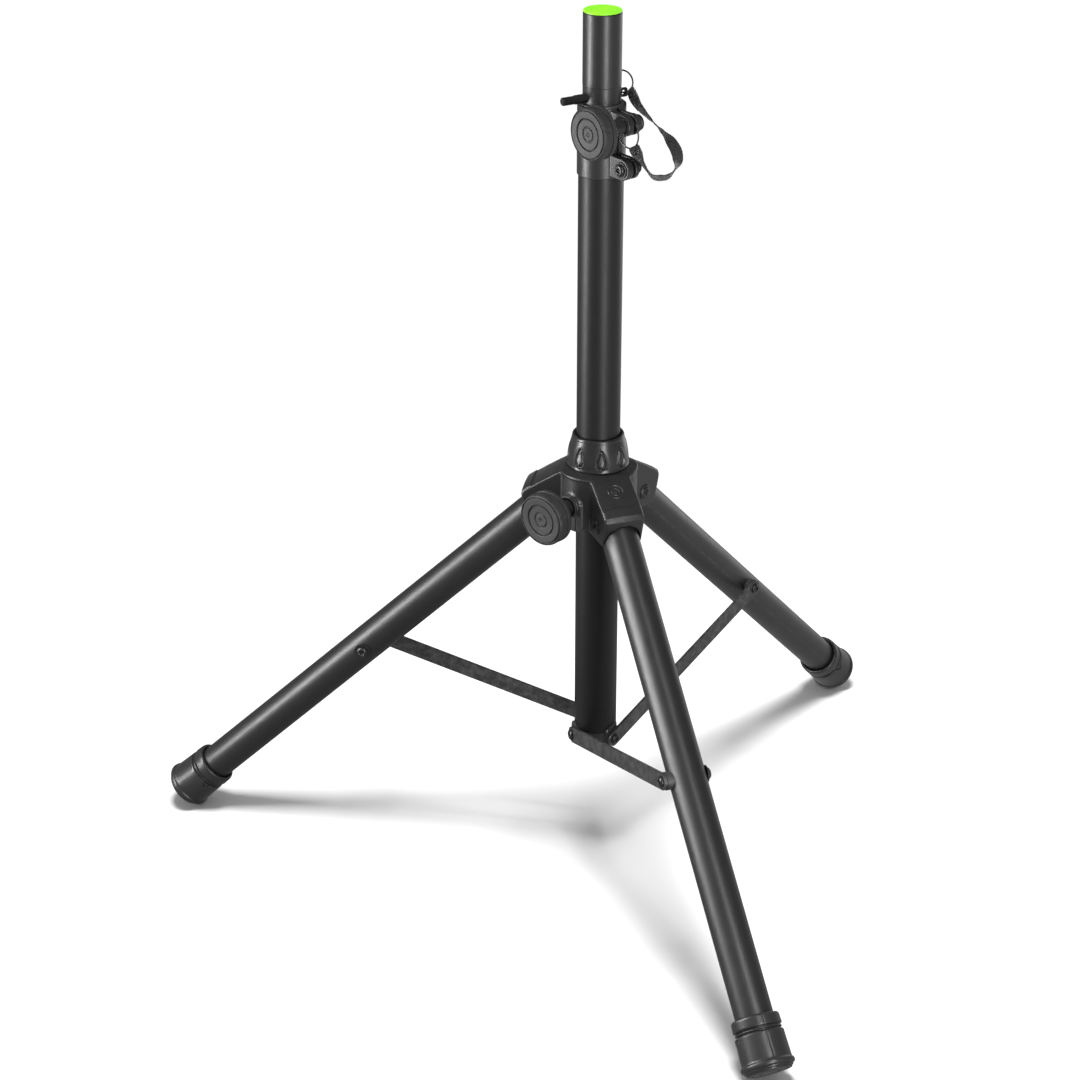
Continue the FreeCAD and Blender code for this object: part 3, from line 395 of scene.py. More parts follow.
def add_lathe(bm, profile, segs=96, matrix=None, shape=None):
    """Adds the surface turned from (radius, height) points in millimetres. shape(angle, r, h) gives (r, h)."""
    rings = []
    for r, h in profile:
        if r < 1e-6:
            v = Vector((0, 0, h)) * MM
            rings.append([bm.verts.new(matrix @ v if matrix else v)])
            continue
        ring = []
        for k in range(segs):
            t = 2 * math.pi * k / segs
            rr, hh = (r, h) if shape is None else shape(t, r, h)
            v = Vector((rr * math.cos(t), rr * math.sin(t), hh)) * MM
            ring.append(bm.verts.new(matrix @ v if matrix else v))
        rings.append(ring)
    for a, b in zip(rings, rings[1:]):
        if len(a) == 1 and len(b) == 1:
            continue
        for k in range(segs):
            j = (k + 1) % segs
            if len(a) == 1:
                bm.faces.new((a[0], b[j], b[k]))
            elif len(b) == 1:
                bm.faces.new((a[k], a[j], b[0]))
            else:
                bm.faces.new((a[k], a[j], b[j], b[k]))


def lathe(name, profile, mat, matrix, segs=128, shape=None, close=True):
    bm = bmesh.new()
    if close and profile[0][0] > 1e-6 and profile[-1][0] > 1e-6:
        profile = list(profile) + [profile[0]]
    add_lathe(bm, profile, segs, None, shape)
    return finish_mesh(name, bm, mat, matrix)


def settle(ob, body, slot, *nodes):
    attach(ob, body)
    if nodes:
        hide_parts(*nodes)
    return ob


def ease(x, a, b):
    t = min(1.0, max(0.0, (x - a) / (b - a)))
    return t * t * (3 - 2 * t)


# ------------------------------------------------------------------ tubes
mast = lathe("mast_sleeve", soften([(19.05, 134.5), (20.65, 134.5), (20.65, 767.5), (19.05, 767.5)], 0.35, 2, True),
             M["mast_black"], turn_z(0), 160)
settle(mast, "mast", "tube_black", "mast_tube")
pole = lathe("pole_sleeve", soften([(15.7, 145.0), (17.3, 145.0), (17.3, 784.9), (17.5, 785.3), (17.5, 849.9),
                                    (16.9, 850.8), (15.7, 850.8)], 0.3, 2, True), M["tube_black"], turn_z(0), 160)
settle(pole, "pole", "tube_black")


def bore_pole():
    """The seven pin holes, cut through the pole."""
    d = az(9.7)
    bm = bmesh.new()
    for k in range(7):
        q = UP.rotation_difference(d).to_matrix().to_4x4()
        m = Matrix.Translation(Vector((0, 0, 774.7 - 90.0 * k)) * MM) @ q
        add_lathe(bm, [(0, -30.0), (4.35, -30.0), (4.35, 30.0), (0, 30.0)], 40, m)
    bmesh.ops.recalc_face_normals(bm, faces=bm.faces)
    me = bpy.data.meshes.new("drills")
    bm.to_mesh(me)
    bm.free()
    drills = bpy.data.objects.new("drills", me)
    scene.collection.objects.link(drills)
    cut = pole.modifiers.new("holes", "BOOLEAN")
    cut.operation, cut.solver, cut.object = "DIFFERENCE", "EXACT", drills
    pole.modifiers.move(1, 0)
    dg = bpy.context.evaluated_depsgraph_get()
    done = bpy.data.meshes.new_from_object(pole.evaluated_get(dg))
    pole.modifiers.clear()
    pole.data = done
    bpy.data.objects.remove(drills)


bore_pole()
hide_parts("pole_tube")

for leg, a in LEGS:
    tube = lathe("leg_sleeve_" + leg, soften([(15.9, -9.0), (17.5, -9.0), (17.5, 514.0), (15.9, 514.0)], 0.4, 2, True),
                 M["leg_black"], on_leg(a), 144)
    settle(tube, "leg_" + leg, "tube_black", "leg_tube_" + leg)

# ------------------------------------------------------------------ end cap
cap_profile = [(0.0, 835.5), (14.0, 835.5), (15.6, 836.2), (15.6, 850.95), (17.35, 850.95), (17.38, 851.6), (16.9, 852.15), (16.2, 852.28)]
r = 15.4
for groove in (14.2, 9.6, 5.2):
    cap_profile += [(groove + 0.75, 852.28), (groove + 0.3, 851.75), (groove - 0.3, 851.75), (groove - 0.75, 852.28)]
cap_profile += [(2.2, 852.28), (1.8, 851.9), (0.0, 851.9)]
cap = lathe("end_cap_disc", soften(cap_profile, 0.28, 3), M["cap_green"], turn_z(0), 128, close=False)
settle(cap, "pole", "cap_green", "pole_cap")


# ------------------------------------------------------------------ crown ring with drop recesses
def crown_shape(t, r, h):
    if r < 22.8:
        return r, h
    pitch = math.pi / 4
    local = (t + pitch / 2) % pitch - pitch / 2
    u = local * r
    v = h - 432.2
    lo, hi = -10.2, 9.6
    s = (v - lo) / (hi - lo)
    if s < -0.12 or s > 1.12:
        return r, h
    if s <= 0.0 or s >= 1.0:
        half = 0.0
    elif s < 0.30:
        half = 4.4 * math.sqrt(max(0.0, 1 - ((0.30 - s) / 0.30) ** 2))
    else:
        half = 4.4 * (1 - ((s - 0.30) / 0.70) ** 1.6)
    if s <= 0.0:
        gap = math.hypot(max(0.0, abs(u) - 0.3), -s * (hi - lo))
    elif s >= 1.0:
        gap = math.hypot(u, (s - 1) * (hi - lo))
    else:
        gap = math.hypot(u, 0.9) - 0.9 - half
        if s < 0.30:
            gap *= 0.85
    rim = 0.36 * math.exp(-((gap - 0.45) / 0.42) ** 2)
    floor = -1.35 * ease(-gap, -0.3, 1.15)
    island = 1.0 * ease(-gap, 1.1, 2.6)
    bead = 0.0
    dv = (s - 0.19) * (hi - lo)
    q = (u * u + dv * dv) / 1.5 ** 2
    if q < 1 and gap < 0:
        bead = 0.55 * (1 - q) ** 2
    return r + rim + floor + island + bead, h


crown_points = [(22.4, 418.5), (28.7, 418.5), (29.45, 419.2), (29.5, 420.1), (29.05, 421.6)] + [
                (28.95 - 4.25 * (k / 24.0) ** 1.75, 422.4 + 24.2 * k / 24.0) for k in range(25)] + [(24.75, 447.2), (24.4, 449.0), (23.3, 449.95), (22.0, 449.95),
                (21.1, 448.4), (21.1, 441.0), (22.4, 440.0)]
crown = lathe("crown_moulding", divide(soften(crown_points, 0.5, 3, True), 0.36), M["crown_gloss"], turn_z(KNOB_AZ), 560, crown_shape)
crown.modifiers.clear()
settle(crown, "hub", "crown_gloss", "crown_ring")


# ------------------------------------------------------------------ hub and collar, with moulded edges
def moulded_from(node, name, voxel, rounds, mat, sculpt=None):
    src = frame["nodes"][node]
    bm = bmesh.new()
    bm.from_mesh(src.data)
    bmesh.ops.remove_doubles(bm, verts=bm.verts, dist=2e-6)
    me = bpy.data.meshes.new(name)
    bm.to_mesh(me)
    bm.free()
    ob = bpy.data.objects.new(name, me)
    scene.collection.objects.link(ob)
    m = ob.modifiers.new("remesh", "REMESH")
    m.mode, m.voxel_size, m.use_smooth_shade = "VOXEL", voxel, True
    s = ob.modifiers.new("smooth", "SMOOTH")
    s.factor, s.iterations = 0.5, rounds
    dg = bpy.context.evaluated_depsgraph_get()
    done = bpy.data.meshes.new_from_object(ob.evaluated_get(dg))
    ob.modifiers.clear()
    ob.data = done
    if sculpt:
        normals = [v.normal.copy() for v in done.vertices]
        for v, nrm in zip(done.vertices, normals):
            move = sculpt(v.co, nrm)
            if move:
                v.co = v.co + nrm * move
        done.update()
    done.materials.clear()
    done.materials.append(mat)
    for p in done.polygons:
        p.use_smooth = True
    return ob


def hub_sculpt(co, nrm):
    """Raised lip at each housing's nose."""
    x, y, z = co.x / MM, co.y / MM, co.z / MM
    move = 0.0
    for leg, a in LEGS:
        c, s = math.cos(rad(a)), math.sin(rad(a))
        u, w = x * c + y * s, -x * s + y * c
        if u < 30 or nrm.z < 0.45:
            continue
        lip = ease(u, 61.2, 61.9) * (1 - ease(u, 69.6, 70.6))
        if abs(w) < 19.6:
            move += 0.75 * lip * (1 - ease(abs(w), 18.2, 19.2))
    return move * MM


hub = moulded_from("hub_casting", "hub_moulding", 0.00085, 5, M["moulded_black"], hub_sculpt)
settle(hub, "hub", "moulded_black", "hub_casting")
collar = moulded_from("collar_clamp", "collar_moulding", 0.0006, 4, M["moulded_black"])
settle(collar, "mast", "moulded_black", "collar_clamp")


# ------------------------------------------------------------------ knobs
def knob(name, R, T, matrix, body, node):
    def k(r):
        return r * R / 24.0

    prof = [(0.0, -2.0), (k(1.4), -1.9), (k(2.2), -1.0), (k(5.6), -1.0), (k(6.1), -2.0), (k(6.9), -2.0), (k(7.4), -1.0),
            (k(12.6), -0.8), (k(13.2), -0.75), (k(13.5), -2.1), (k(14.3), -2.1), (k(14.6), -0.45), (k(15.4), -0.25),
            (k(20.2), 0.0), (k(20.7), -0.1), (k(21.0), -1.6), (k(21.8), -1.6), (k(22.1), -0.45), (k(22.7), -0.7), (k(23.4), -1.6),
            (k(23.75), -3.2), (k(23.75), -T * 0.58), (k(23.5), -T * 0.60), (k(22.5), -T * 0.615), (k(22.4), -T * 0.665),
            (k(23.5), -T * 0.68), (k(23.95), -T * 0.70), (k(24.0), -T * 0.90), (k(23.2), -(T - 0.5)), (k(21.0), -T),
            (10.0, -T), (8.6, -(T + 0.4)), (8.0, -(T + 2.0)), (0.0, -(T + 2.0))]
    notches = [rad(q) for q in (20, 65, 110, 155, 200, 245, 290, 335)]

    def shape(t, r, h):
        depth = 0.0
        if r > R * 0.93 and -T * 0.6 < h < -1.0:
            for q in notches:
                d = abs((t - q + math.pi) % (2 * math.pi) - math.pi) * R
                depth = max(depth, 0.6 * (1 - ease(d, 0.7, 2.1)) * ease(-h, 1.2, 2.8) * (1 - ease(-h, T * 0.42, T * 0.56)))
        return r - depth, h

    ob = lathe(name, divide(soften(prof, 0.42, 3), 0.9), M["knob_grey"], matrix, 320, shape, close=False)
    return settle(ob, body, "knob_grey", node)


knob("collar_grip", 24.0, 15.8, along(LUG_AZ, 36.0, -48.4, 756.4, (0, -1, 0)), "collar_knob", "collar_knob")
knob("hub_grip", 25.4, 16.8, along(KNOB_AZ, 84.9, 0, 387.8, (1, 0, 0)), "hub_knob", "hub_knob")


# ------------------------------------------------------------------ rubber feet
def foot_shape_at(mark):
    """A V mark with two dots under the band at one side, and a parting crease on each flank."""
    def shape(t, r, h):
        d = (t - rad(mark) + math.pi) % (2 * math.pi) - math.pi
        u = d * r
        move = 0.0
        if r > 20.0 and 484.5 < h < 504.0 and abs(u) < 7.5:
            line = 490.4 + max(0.0, 5.4 - abs(u)) * 1.15
            edge = 1 - ease(abs(u), 5.2, 6.4)
            move += (0.45 * math.exp(-((h - line - 1.75) / 0.75) ** 2) - 1.25 * math.exp(-((h - line) / 0.95) ** 2)) * edge
        for side in (rad(mark - 92), rad(mark + 92)):
            e = abs((t - side + math.pi) % (2 * math.pi) - math.pi) * r
            if r > 20.0 and h < 516.0:
                move -= 0.25 * math.exp(-(e / 0.5) ** 2)
        for k in (-1, 1):
            du, dh = u - 4.6 * k, h - 495.6
            q = (du * du + dh * dh) / 1.0 ** 2
            if q < 1 and r > 20.5:
                move += 0.5 * math.sqrt(1 - q)
        return r + move, h
    return shape


foot_points = [(17.55, 480.0), (18.2, 479.2), (18.6, 477.0), (19.4, 476.1), (20.6, 476.1), (21.6, 477.0), (22.0, 478.4),
               (22.3, 485.4), (22.0, 486.3), (20.2, 486.7), (19.9, 487.6), (21.2, 488.0), (21.5, 488.8), (21.2, 489.4),
               (19.8, 489.8), (19.9, 490.8), (21.6, 491.2), (22.2, 491.9), (22.4, 500.0), (22.85, 514.4), (23.0, 515.8), (23.5, 516.7), (24.3, 517.6),
               (24.55, 518.6), (24.55, 520.2), (24.1, 521.2), (22.9, 521.7), (22.3, 522.2), (22.4, 522.9), (22.0, 523.5),
               (21.2, 523.7), (20.9, 524.2), (20.9, 524.9), (20.3, 525.45), (17.5, 525.45), (16.9, 524.6), (15.9, 524.6),
               (15.3, 525.45), (10.5, 525.45), (9.9, 524.6), (8.9, 524.6), (8.3, 525.45), (0.0, 525.45)]
MARK = {"front": -87.0, "right": -87.0, "left": 69.0}
for leg, a in LEGS:
    ob = lathe("foot_cup_" + leg, divide(soften(foot_points, 0.4, 2), 0.7), M["foot_rubber"], on_leg(a), 320,
               foot_shape_at(MARK[leg]), close=False)
    settle(ob, "leg_" + leg, "foot_rubber", "foot_boot_" + leg)


# ------------------------------------------------------------------ fasteners
def head_profile(rh, h, rs, depth, shank_r, shank):
    return [(0.0, -shank), (shank_r, -shank), (shank_r, 0.0), (rh - 0.25, 0.0), (rh, 0.3), (rh, h * 0.38), (rh * 0.93, h * 0.66),
            (rh * 0.76, h * 0.92), (rh * 0.62, h), (rs + 0.35, h), (rs, h - 0.25), (rs * 0.96, h - depth), (rs * 0.55, h - depth - 0.3),
            (0.0, h - depth - 0.3)]


def star(rs, lobes=6, amount=0.17):
    def f(t, r, h):
        if r <= rs * 1.02 and h > 0:
            return r * (1 - amount + amount * math.cos(lobes * t)), h
        return r, h
    return f


def heads(name, mats, rh, h, rs, depth, shank_r, shank, body, slot, *nodes):
    bm = bmesh.new()
    prof = soften(head_profile(rh, h, rs, depth, shank_r, shank), 0.3, 3)
    for m in mats:
        add_lathe(bm, prof, 96, m, star(rs))
    ob = finish_mesh(name, bm, M[slot])
    return settle(ob, body, slot, *nodes)


bm = bmesh.new()
for _, a in LEGS:
    add_lathe(bm, soften([(5.9, 0.05), (7.7, 0.05), (7.8, 0.35), (7.6, 0.8), (7.2, 0.95), (6.3, 0.95), (5.9, 0.7)] + [(5.9, 0.05)], 0.2, 2), 96,
              along(a, 48.0, -20.05, 376.44, (0, -1, 0)))
settle(finish_mesh("pivot_seats", bm, M["hardware_black"]), "hub", "hardware_black")
heads("pivot_screws", [along(a, 48.0, -20.05, 376.44, (0, -1, 0)) for _, a in LEGS], 6.0, 1.7, 2.9, 1.1, 3.95, 43.0, "hub",
      "hardware_black", "leg_pivot_bolts")
bm = bmesh.new()
for _, a in LEGS:
    add_lathe(bm, soften([(4.05, 0.0), (6.4, 0.0), (6.6, 0.4), (6.6, 2.4), (6.0, 3.1), (5.0, 3.4), (4.3, 3.3), (4.05, 2.8)] + [(4.05, 0.0)], 0.25, 2), 64,
              along(a, 48.0, 20.05, 376.44, (0, 1, 0)))
settle(finish_mesh("pivot_collars", bm, M["hardware_black"]), "hub", "hardware_black", "leg_pivot_nuts")
heads("strut_screws_low", [along(a, 0.0, -25.25, 126.2, (0, -1, 0)) for _, a in LEGS], 5.4, 2.6, 2.4, 1.4, 2.95, 10.8, "mast",
      "hardware_black", "strut_inner_bolts")
bx = 48.0 + math.sin(rad(46.56)) * 252.2
bz = 376.44 - math.cos(rad(46.56)) * 252.2
ex = 243.56 * math.cos(rad(18.408))
ez = 126.2 + 243.56 * math.sin(rad(18.408))
for leg, a in LEGS:
    heads("strut_screw_out_" + leg, [along(a, ex, -25.12, ez, (0, -1, 0))], 5.4, 2.6, 2.4, 1.4, 2.95, 2.7, "strut_" + leg,
          "hardware_black", "strut_outer_bolt_" + leg)
    heads("cross_screw_" + leg, [along(a, bx, 19.0, bz, (0, 1, 0))], 5.5, 3.4, 2.5, 1.8, 3.0, 40.8, "leg_" + leg,
          "hardware_black", "leg_cross_bolt_" + leg)
heads("clamp_screw", [along(LUG_AZ, 36.0, -9.1, 716.3, (0, -1, 0))], 5.6, 2.9, 2.6, 1.6, 3.0, 20.5, "mast", "hardware_black", "collar_clamp_screw")

# ------------------------------------------------------------------ strap
U, W = az(-21.3), az(-111.3)


def uwz(u, w, z):
    return (U * u + W * w) * MM + UP * (z * MM)


ring_way = U * math.cos(rad(30)) + W * math.sin(rad(30))
eye = az(9.7) * 0.0218 + UP * 0.7746
ring_centre = eye + UP * 0.010
down = rad(-42)
out_up = ring_way * math.cos(down) + UP * math.sin(down)
eye_up = ring_centre + out_up * 0.0115
lug_dir, bolt_dir = az(LUG_AZ), az(LUG_AZ + 90)
loop_centre = lug_dir * 0.036 + UP * (0.7564 + 0.004 + 0.00075 + 0.0003 - 0.0132)
low = rad(-54)
out_low = lug_dir * math.cos(low) + UP * math.sin(low)
eye_low = loop_centre + out_low * (0.0132 + 0.0015)
ROUTE = [(30.4, -6.0, 766.2), (36.5, -4.5, 759.4), (44.4, -2.0, 751.9), (52.9, 1.0, 743.9), (60.2, 4.5, 736.8),
         (65.7, 8.0, 729.9), (68.4, 11.0, 723.2), (68.2, 13.5, 716.6), (64.9, 16.5, 709.9), (59.3, 18.9, 705.5),
         (51.0, 21.3, 705.6), (43.9, 25.0, 710.4), (39.0, 29.6, 717.6), (34.8, 33.2, 725.2)]
route = [uwz(*p) for p in ROUTE]
first = eye_up + (route[0] - eye_up).normalized() * 0.0053
last = eye_low + (route[-1] - eye_low).normalized() * 0.0053
route = [first] + route + [last]

curve = bpy.data.curves.new("strap_line", "CURVE")
curve.dimensions = "3D"
curve.resolution_u = 24
spline = curve.splines.new("NURBS")
spline.points.add(len(route) - 1)
for p, q in zip(spline.points, route):
    p.co = (q.x, q.y, q.z, 1.0)
spline.order_u = 3
spline.use_endpoint_u = True
line_ob = bpy.data.objects.new("strap_line", curve)
scene.collection.objects.link(line_ob)
bpy.context.view_layer.update()
line_mesh = bpy.data.meshes.new_from_object(line_ob.evaluated_get(bpy.context.evaluated_depsgraph_get()))
line = [v.co.copy() for v in line_mesh.vertices]
bpy.data.objects.remove(line_ob)


def resample(points, step):
    lens = [0.0]
    for a, b in zip(points, points[1:]):
        lens.append(lens[-1] + (b - a).length)
    total = lens[-1]
    n = max(2, int(round(total / step)))
    out, i = [], 0
    for k in range(n + 1):
        s = total * k / n
        while i < len(lens) - 2 and lens[i + 1] < s:
            i += 1
        d = lens[i + 1] - lens[i]
        out.append(points[i].lerp(points[i + 1], (s - lens[i]) / d if d > 0 else 0))
    return out, total


path, strap_len = resample(line, 0.00045)
print("strap length", round(strap_len, 4))
TWIST = [(0.0, 36), (0.10, 48), (0.17, 62), (0.24, 82), (0.31, 60), (0.42, 10), (0.52, -24), (0.60, -76), (0.68, -46), (0.74, -38), (0.82, -72), (0.92, -70), (1.0, -40)]


def twist_at(s):
    for (a, p), (b, q) in zip(TWIST, TWIST[1:]):
        if s <= b:
            return p + (q - p) * ease(s, a, b)
    return TWIST[-1][1]


def add_ribbon(bm, pts, width_at, thick_at, twist, ribs=True, rib_pitch=0.0016):
    """Flat webbing along pts: rounded selvedges and raised cross ribs."""
    n = len(pts)
    across = 10
    uvs = {}
    rows = []
    for i, p in enumerate(pts):
        t = (pts[min(i + 1, n - 1)] - pts[max(i - 1, 0)]).normalized()
        side = W.cross(t)
        if side.length < 1e-4:
            side = U.copy()
        side.normalize()
        other = t.cross(side).normalized()
        width, thick = width_at(i / (n - 1)), thick_at(i / (n - 1))
        psi = rad(twist(i / (n - 1)))
        wdir = (side * math.cos(psi) + other * math.sin(psi)).normalized()
        ndir = t.cross(wdir).normalized()
        s = i / (n - 1) * (len(pts) - 1) * (pts[1] - pts[0]).length
        wave = math.cos(2 * math.pi * s / rib_pitch) if ribs else 0.0
        row = []
        for k in range(2 * across):
            ph = 2 * math.pi * k / (2 * across)
            c, q = math.cos(ph), math.sin(ph)
            x = math.copysign(abs(c) ** 0.35, c) * (width / 2 - 0.00016 * (1 - wave))
            h = math.copysign(abs(q) ** 0.55, q) * (thick / 2 + 0.00019 * wave * min(1.0, abs(q) * 1.5))
            v = bm.verts.new(p + wdir * x + ndir * h)
            uvs[v] = (s * 100.0, (x / width + 0.5))
            row.append(v)
        rows.append(row)
    layer = bm.loops.layers.uv.verify()
    m = 2 * across
    for a, b in zip(rows, rows[1:]):
        for k in range(m):
            j = (k + 1) % m
            f = bm.faces.new((a[k], a[j], b[j], b[k]))
            for lp in f.loops:
                lp[layer].uv = uvs[lp.vert]
    for row, flip in ((rows[0], True), (rows[-1], False)):
        f = bm.faces.new(row if not flip else row[::-1])
        for lp in f.loops:
            lp[layer].uv = uvs[lp.vert]


def add_tube(bm, pts, radius, segs=10):
    rows = []
    n = len(pts)
    for i, p in enumerate(pts):
        tan = (pts[min(i + 1, n - 1)] - pts[max(i - 1, 0)]).normalized()
        a = tan.orthogonal().normalized() if i == 0 else (last_a - tan * last_a.dot(tan)).normalized()
        last_a = a
        b = tan.cross(a)
        rows.append([bm.verts.new(p + (a * math.cos(2 * math.pi * k / segs) + b * math.sin(2 * math.pi * k / segs)) * radius) for k in range(segs)])
    for x, y in zip(rows, rows[1:]):
        for k in range(segs):
            bm.faces.new((x[k], x[(k + 1) % segs], y[(k + 1) % segs], y[k]))
    bm.faces.new(rows[0][::-1])
    bm.faces.new(rows[-1])


def frame_at(pts, i, psi):
    n = len(pts)
    t = (pts[min(i + 1, n - 1)] - pts[max(i - 1, 0)]).normalized()
    side = W.cross(t).normalized()
    other = t.cross(side).normalized()
    wd = (side * math.cos(psi) + other * math.sin(psi)).normalized()
    return t, wd, t.cross(wd).normalized()


# the webbing, and a folded and stitched tab at each end round its eyelet
bm = bmesh.new()
add_ribbon(bm, path, lambda s: 0.0108, lambda s: 0.0013, twist_at)
strap = finish_mesh("strap_webbing", bm, M["webbing_black"], None, weighted=False)
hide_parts("retaining_strap")
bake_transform(strap)
tail = 30
on_strap = []
for which, centre, out, pts, s0, s1, ring_psi, ring_w in (
        ("upper", eye_up, out_up, path[:tail], 0.0, tail / len(path), 24.0, 0.0088),
        ("lower", eye_low, out_low, path[-tail:][::-1], 1.0, 1 - tail / len(path), 8.0, 0.0106)):
    flip = -1 if s0 > 0.5 else 1
    fold = centre - out * 0.0024
    lead = [fold.lerp(centre, k / 4) for k in range(4)] + [centre.lerp(pts[0], k / 8) for k in range(8)]
    run = lead + pts
    n_lead, n_run = len(lead), len(run)

    def psi(s, a=s0, b=s1, first=ring_psi, fl=flip, nl=n_lead, nr=n_run):
        k = s * (nr - 1)
        end = twist_at(a + (b - a) * max(0.0, (k - nl) / (nr - 1 - nl)))
        return fl * (first + (end - first) * ease(k, nl * 0.45, nl + 9.0)) if fl > 0 else fl * (
            -first + (end + first) * ease(k, nl * 0.45, nl + 9.0))

    bm = bmesh.new()
    add_ribbon(bm, run, (lambda s, w=ring_w: w + (0.0110 - w) * ease(s, 0.05, 0.5) - 0.0016 * (1 - ease(s, 0.0, 0.06))),
               (lambda s: 0.0034 - 0.0010 * ease(s, 0.1, 0.9)), psi)
    for face in (-1, 1):
        for lane in (-0.0030, 0.0030):
            stitch = []
            for k in range(n_lead, n_run - 2, 2):
                tt, wd, nd = frame_at(run, k, rad(psi(k / (n_run - 1))))
                stitch.append(run[k] + wd * (lane + 0.0010 * (-1) ** (k // 2)) + nd * face * 0.00150)
            add_tube(bm, stitch, 0.00024, 6)
    tab = finish_mesh("strap_tab_" + which, bm, M["webbing_black"], None, weighted=False)
    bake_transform(tab)
    k = n_lead - 4
    tt, wd, nd = frame_at(run, k, rad(psi(k / (n_run - 1))))
    place = Matrix((
        (wd.x, tt.x, nd.x, run[k].x), (wd.y, tt.y, nd.y, run[k].y), (wd.z, tt.z, nd.z, run[k].z), (0, 0, 0, 1)))
    gb = bmesh.new()
    add_lathe(gb, soften([(1.2, -1.9), (1.9, -2.15), (2.7, -1.95), (2.9, -1.6), (2.9, 1.6), (2.7, 1.95), (1.9, 2.15), (1.2, 1.9)] + [(1.2, -1.9)],
                         0.3, 3), 64, place)
    g = finish_mesh("strap_grommet_" + which, gb, M["wire_steel"])
    settle(g, "lock_pin" if which == "upper" else "mast", "wire_steel", "strap_eyelet_" + which)
    on_strap += [tab, g]

# ------------------------------------------------------------------ round nuts and washers on the collar bolts
dome = soften([(3.0, 0.0), (7.2, 0.0), (7.45, 0.4), (7.45, 1.5), (7.0, 1.9), (7.0, 2.5), (7.4, 2.9), (7.4, 4.6), (6.8, 5.5), (5.4, 6.1),
               (4.3, 6.2), (4.0, 5.6), (3.0, 5.4)] + [(3.0, 0.0)], 0.35, 3)
bm = bmesh.new()
add_lathe(bm, dome, 96, along(LUG_AZ, 36.0, 7.1, 756.4, (0, 1, 0)))
settle(finish_mesh("knob_bolt_nut", bm, M["hardware_black"]), "mast", "hardware_black", "collar_knob_nut")
bm = bmesh.new()
add_lathe(bm, [(r * 0.86, h) for r, h in dome], 96, along(LUG_AZ, 36.0, 5.85, 716.3, (0, 1, 0)))
settle(finish_mesh("clamp_bolt_nut", bm, M["hardware_black"]), "mast", "hardware_black", "collar_clamp_nut")

# ------------------------------------------------------------------ knob boss: stepped ring, and ribs on its pad
bm = bmesh.new()
add_lathe(bm, soften([(8.7, 40.6), (10.4, 40.6), (10.9, 41.1), (10.9, 42.6), (10.2, 43.2), (10.2, 43.9), (10.8, 44.4), (10.8, 45.5),
                      (10.2, 46.0), (9.2, 46.0), (8.7, 45.4)] + [(8.7, 40.6)], 0.3, 3), 128, along(KNOB_AZ, 0, 0, 387.8, (1, 0, 0)))
for k, (w, h0, h1) in enumerate(((-8.6, 361.5, 378.0), (-3.0, 361.5, 376.4), (3.0, 361.5, 376.4), (8.6, 361.5, 378.0))):
    m = turn_z(KNOB_AZ)
    rows = []
    for z in (h0, h0 + 0.7, h0 + 1.6, (h0 + h1) / 2, h1 - 1.6, h1 - 0.7, h1):
        e = 0.55 if z in (h0, h1) else (0.85 if z in (h0 + 0.7, h1 - 0.7) else 1.0)
        rows.append([bm.verts.new(m @ (Vector((37.0 + x * e, w + y * e, z)) * MM)) for x, y in
                     ((-0.6, -1.15), (1.5, -1.15), (2.1, -0.8), (2.4, 0.0), (2.1, 0.8), (1.5, 1.15), (-0.6, 1.15))])
    for a_, b_ in zip(rows, rows[1:]):
        for q in range(7):
            bm.faces.new((a_[q], a_[(q + 1) % 7], b_[(q + 1) % 7], b_[q]))
    bm.faces.new(rows[0][::-1])
    bm.faces.new(rows[-1])
settle(finish_mesh("knob_boss_ring", bm, M["moulded_black"]), "hub", "moulded_black")

# ------------------------------------------------------------------ plain round badge on the front housing
bm = bmesh.new()
add_lathe(bm, soften([(0.0, -1.2), (8.0, -1.2), (8.0, 0.95), (7.5, 1.5), (6.9, 1.5), (6.4, 1.0), (5.9, 0.78), (4.5, 0.78), (4.1, 1.2), (3.3, 1.2),
                      (2.9, 0.8), (1.8, 0.8), (1.2, 1.1), (0.0, 1.15)], 0.25, 3), 128,
          along(-90.0, 45.96, 0.0, 407.33, (0.5295, 0, 0.8486)))
settle(finish_mesh("hub_badge", bm, M["moulded_black"]), "hub", "moulded_black")

# ------------------------------------------------------------------ floor and lights
floor_mesh = bpy.data.meshes.new("studio_floor")
bm = bmesh.new()
bmesh.ops.create_grid(bm, x_segments=8, y_segments=8, size=14.0)
bm.to_mesh(floor_mesh)
bm.free()
floor = bpy.data.objects.new("studio_floor", floor_mesh)
scene.collection.objects.link(floor)
floor.location.z = -0.0002
fm = bpy.data.materials.new("studio_floor")
fm.use_nodes = True
nt = fm.node_tree
fb = nt.nodes["Principled BSDF"]
fb.inputs["Base Color"].default_value = (0.93, 0.93, 0.93, 1)
fb.inputs["Roughness"].default_value = 0.9
fb.inputs["Specular IOR Level"].default_value = 0.1
where = nt.nodes.new("ShaderNodeTexCoord")
length = nt.nodes.new("ShaderNodeVectorMath")
length.operation = "LENGTH"
nt.links.new(where.outputs["Object"], length.inputs[0])
fade = nt.nodes.new("ShaderNodeMapRange")
fade.interpolation_type = "SMOOTHSTEP"
fade.inputs["From Min"].default_value = 0.50
fade.inputs["From Max"].default_value = 0.95
nt.links.new(length.outputs["Value"], fade.inputs["Value"])
paper = nt.nodes.new("ShaderNodeEmission")
paper.inputs["Color"].default_value = (1, 1, 1, 1)
paper.inputs["Strength"].default_value = 1.05
sweep = nt.nodes.new("ShaderNodeMixShader")
nt.links.new(fade.outputs["Result"], sweep.inputs[0])
nt.links.new(fb.outputs[0], sweep.inputs[1])
nt.links.new(paper.outputs[0], sweep.inputs[2])
# painted reflection: for glossy rays the floor glows, more strongly towards +X, so the dark parts show brighter
# reflections on that side
lp = nt.nodes.new("ShaderNodeLightPath")
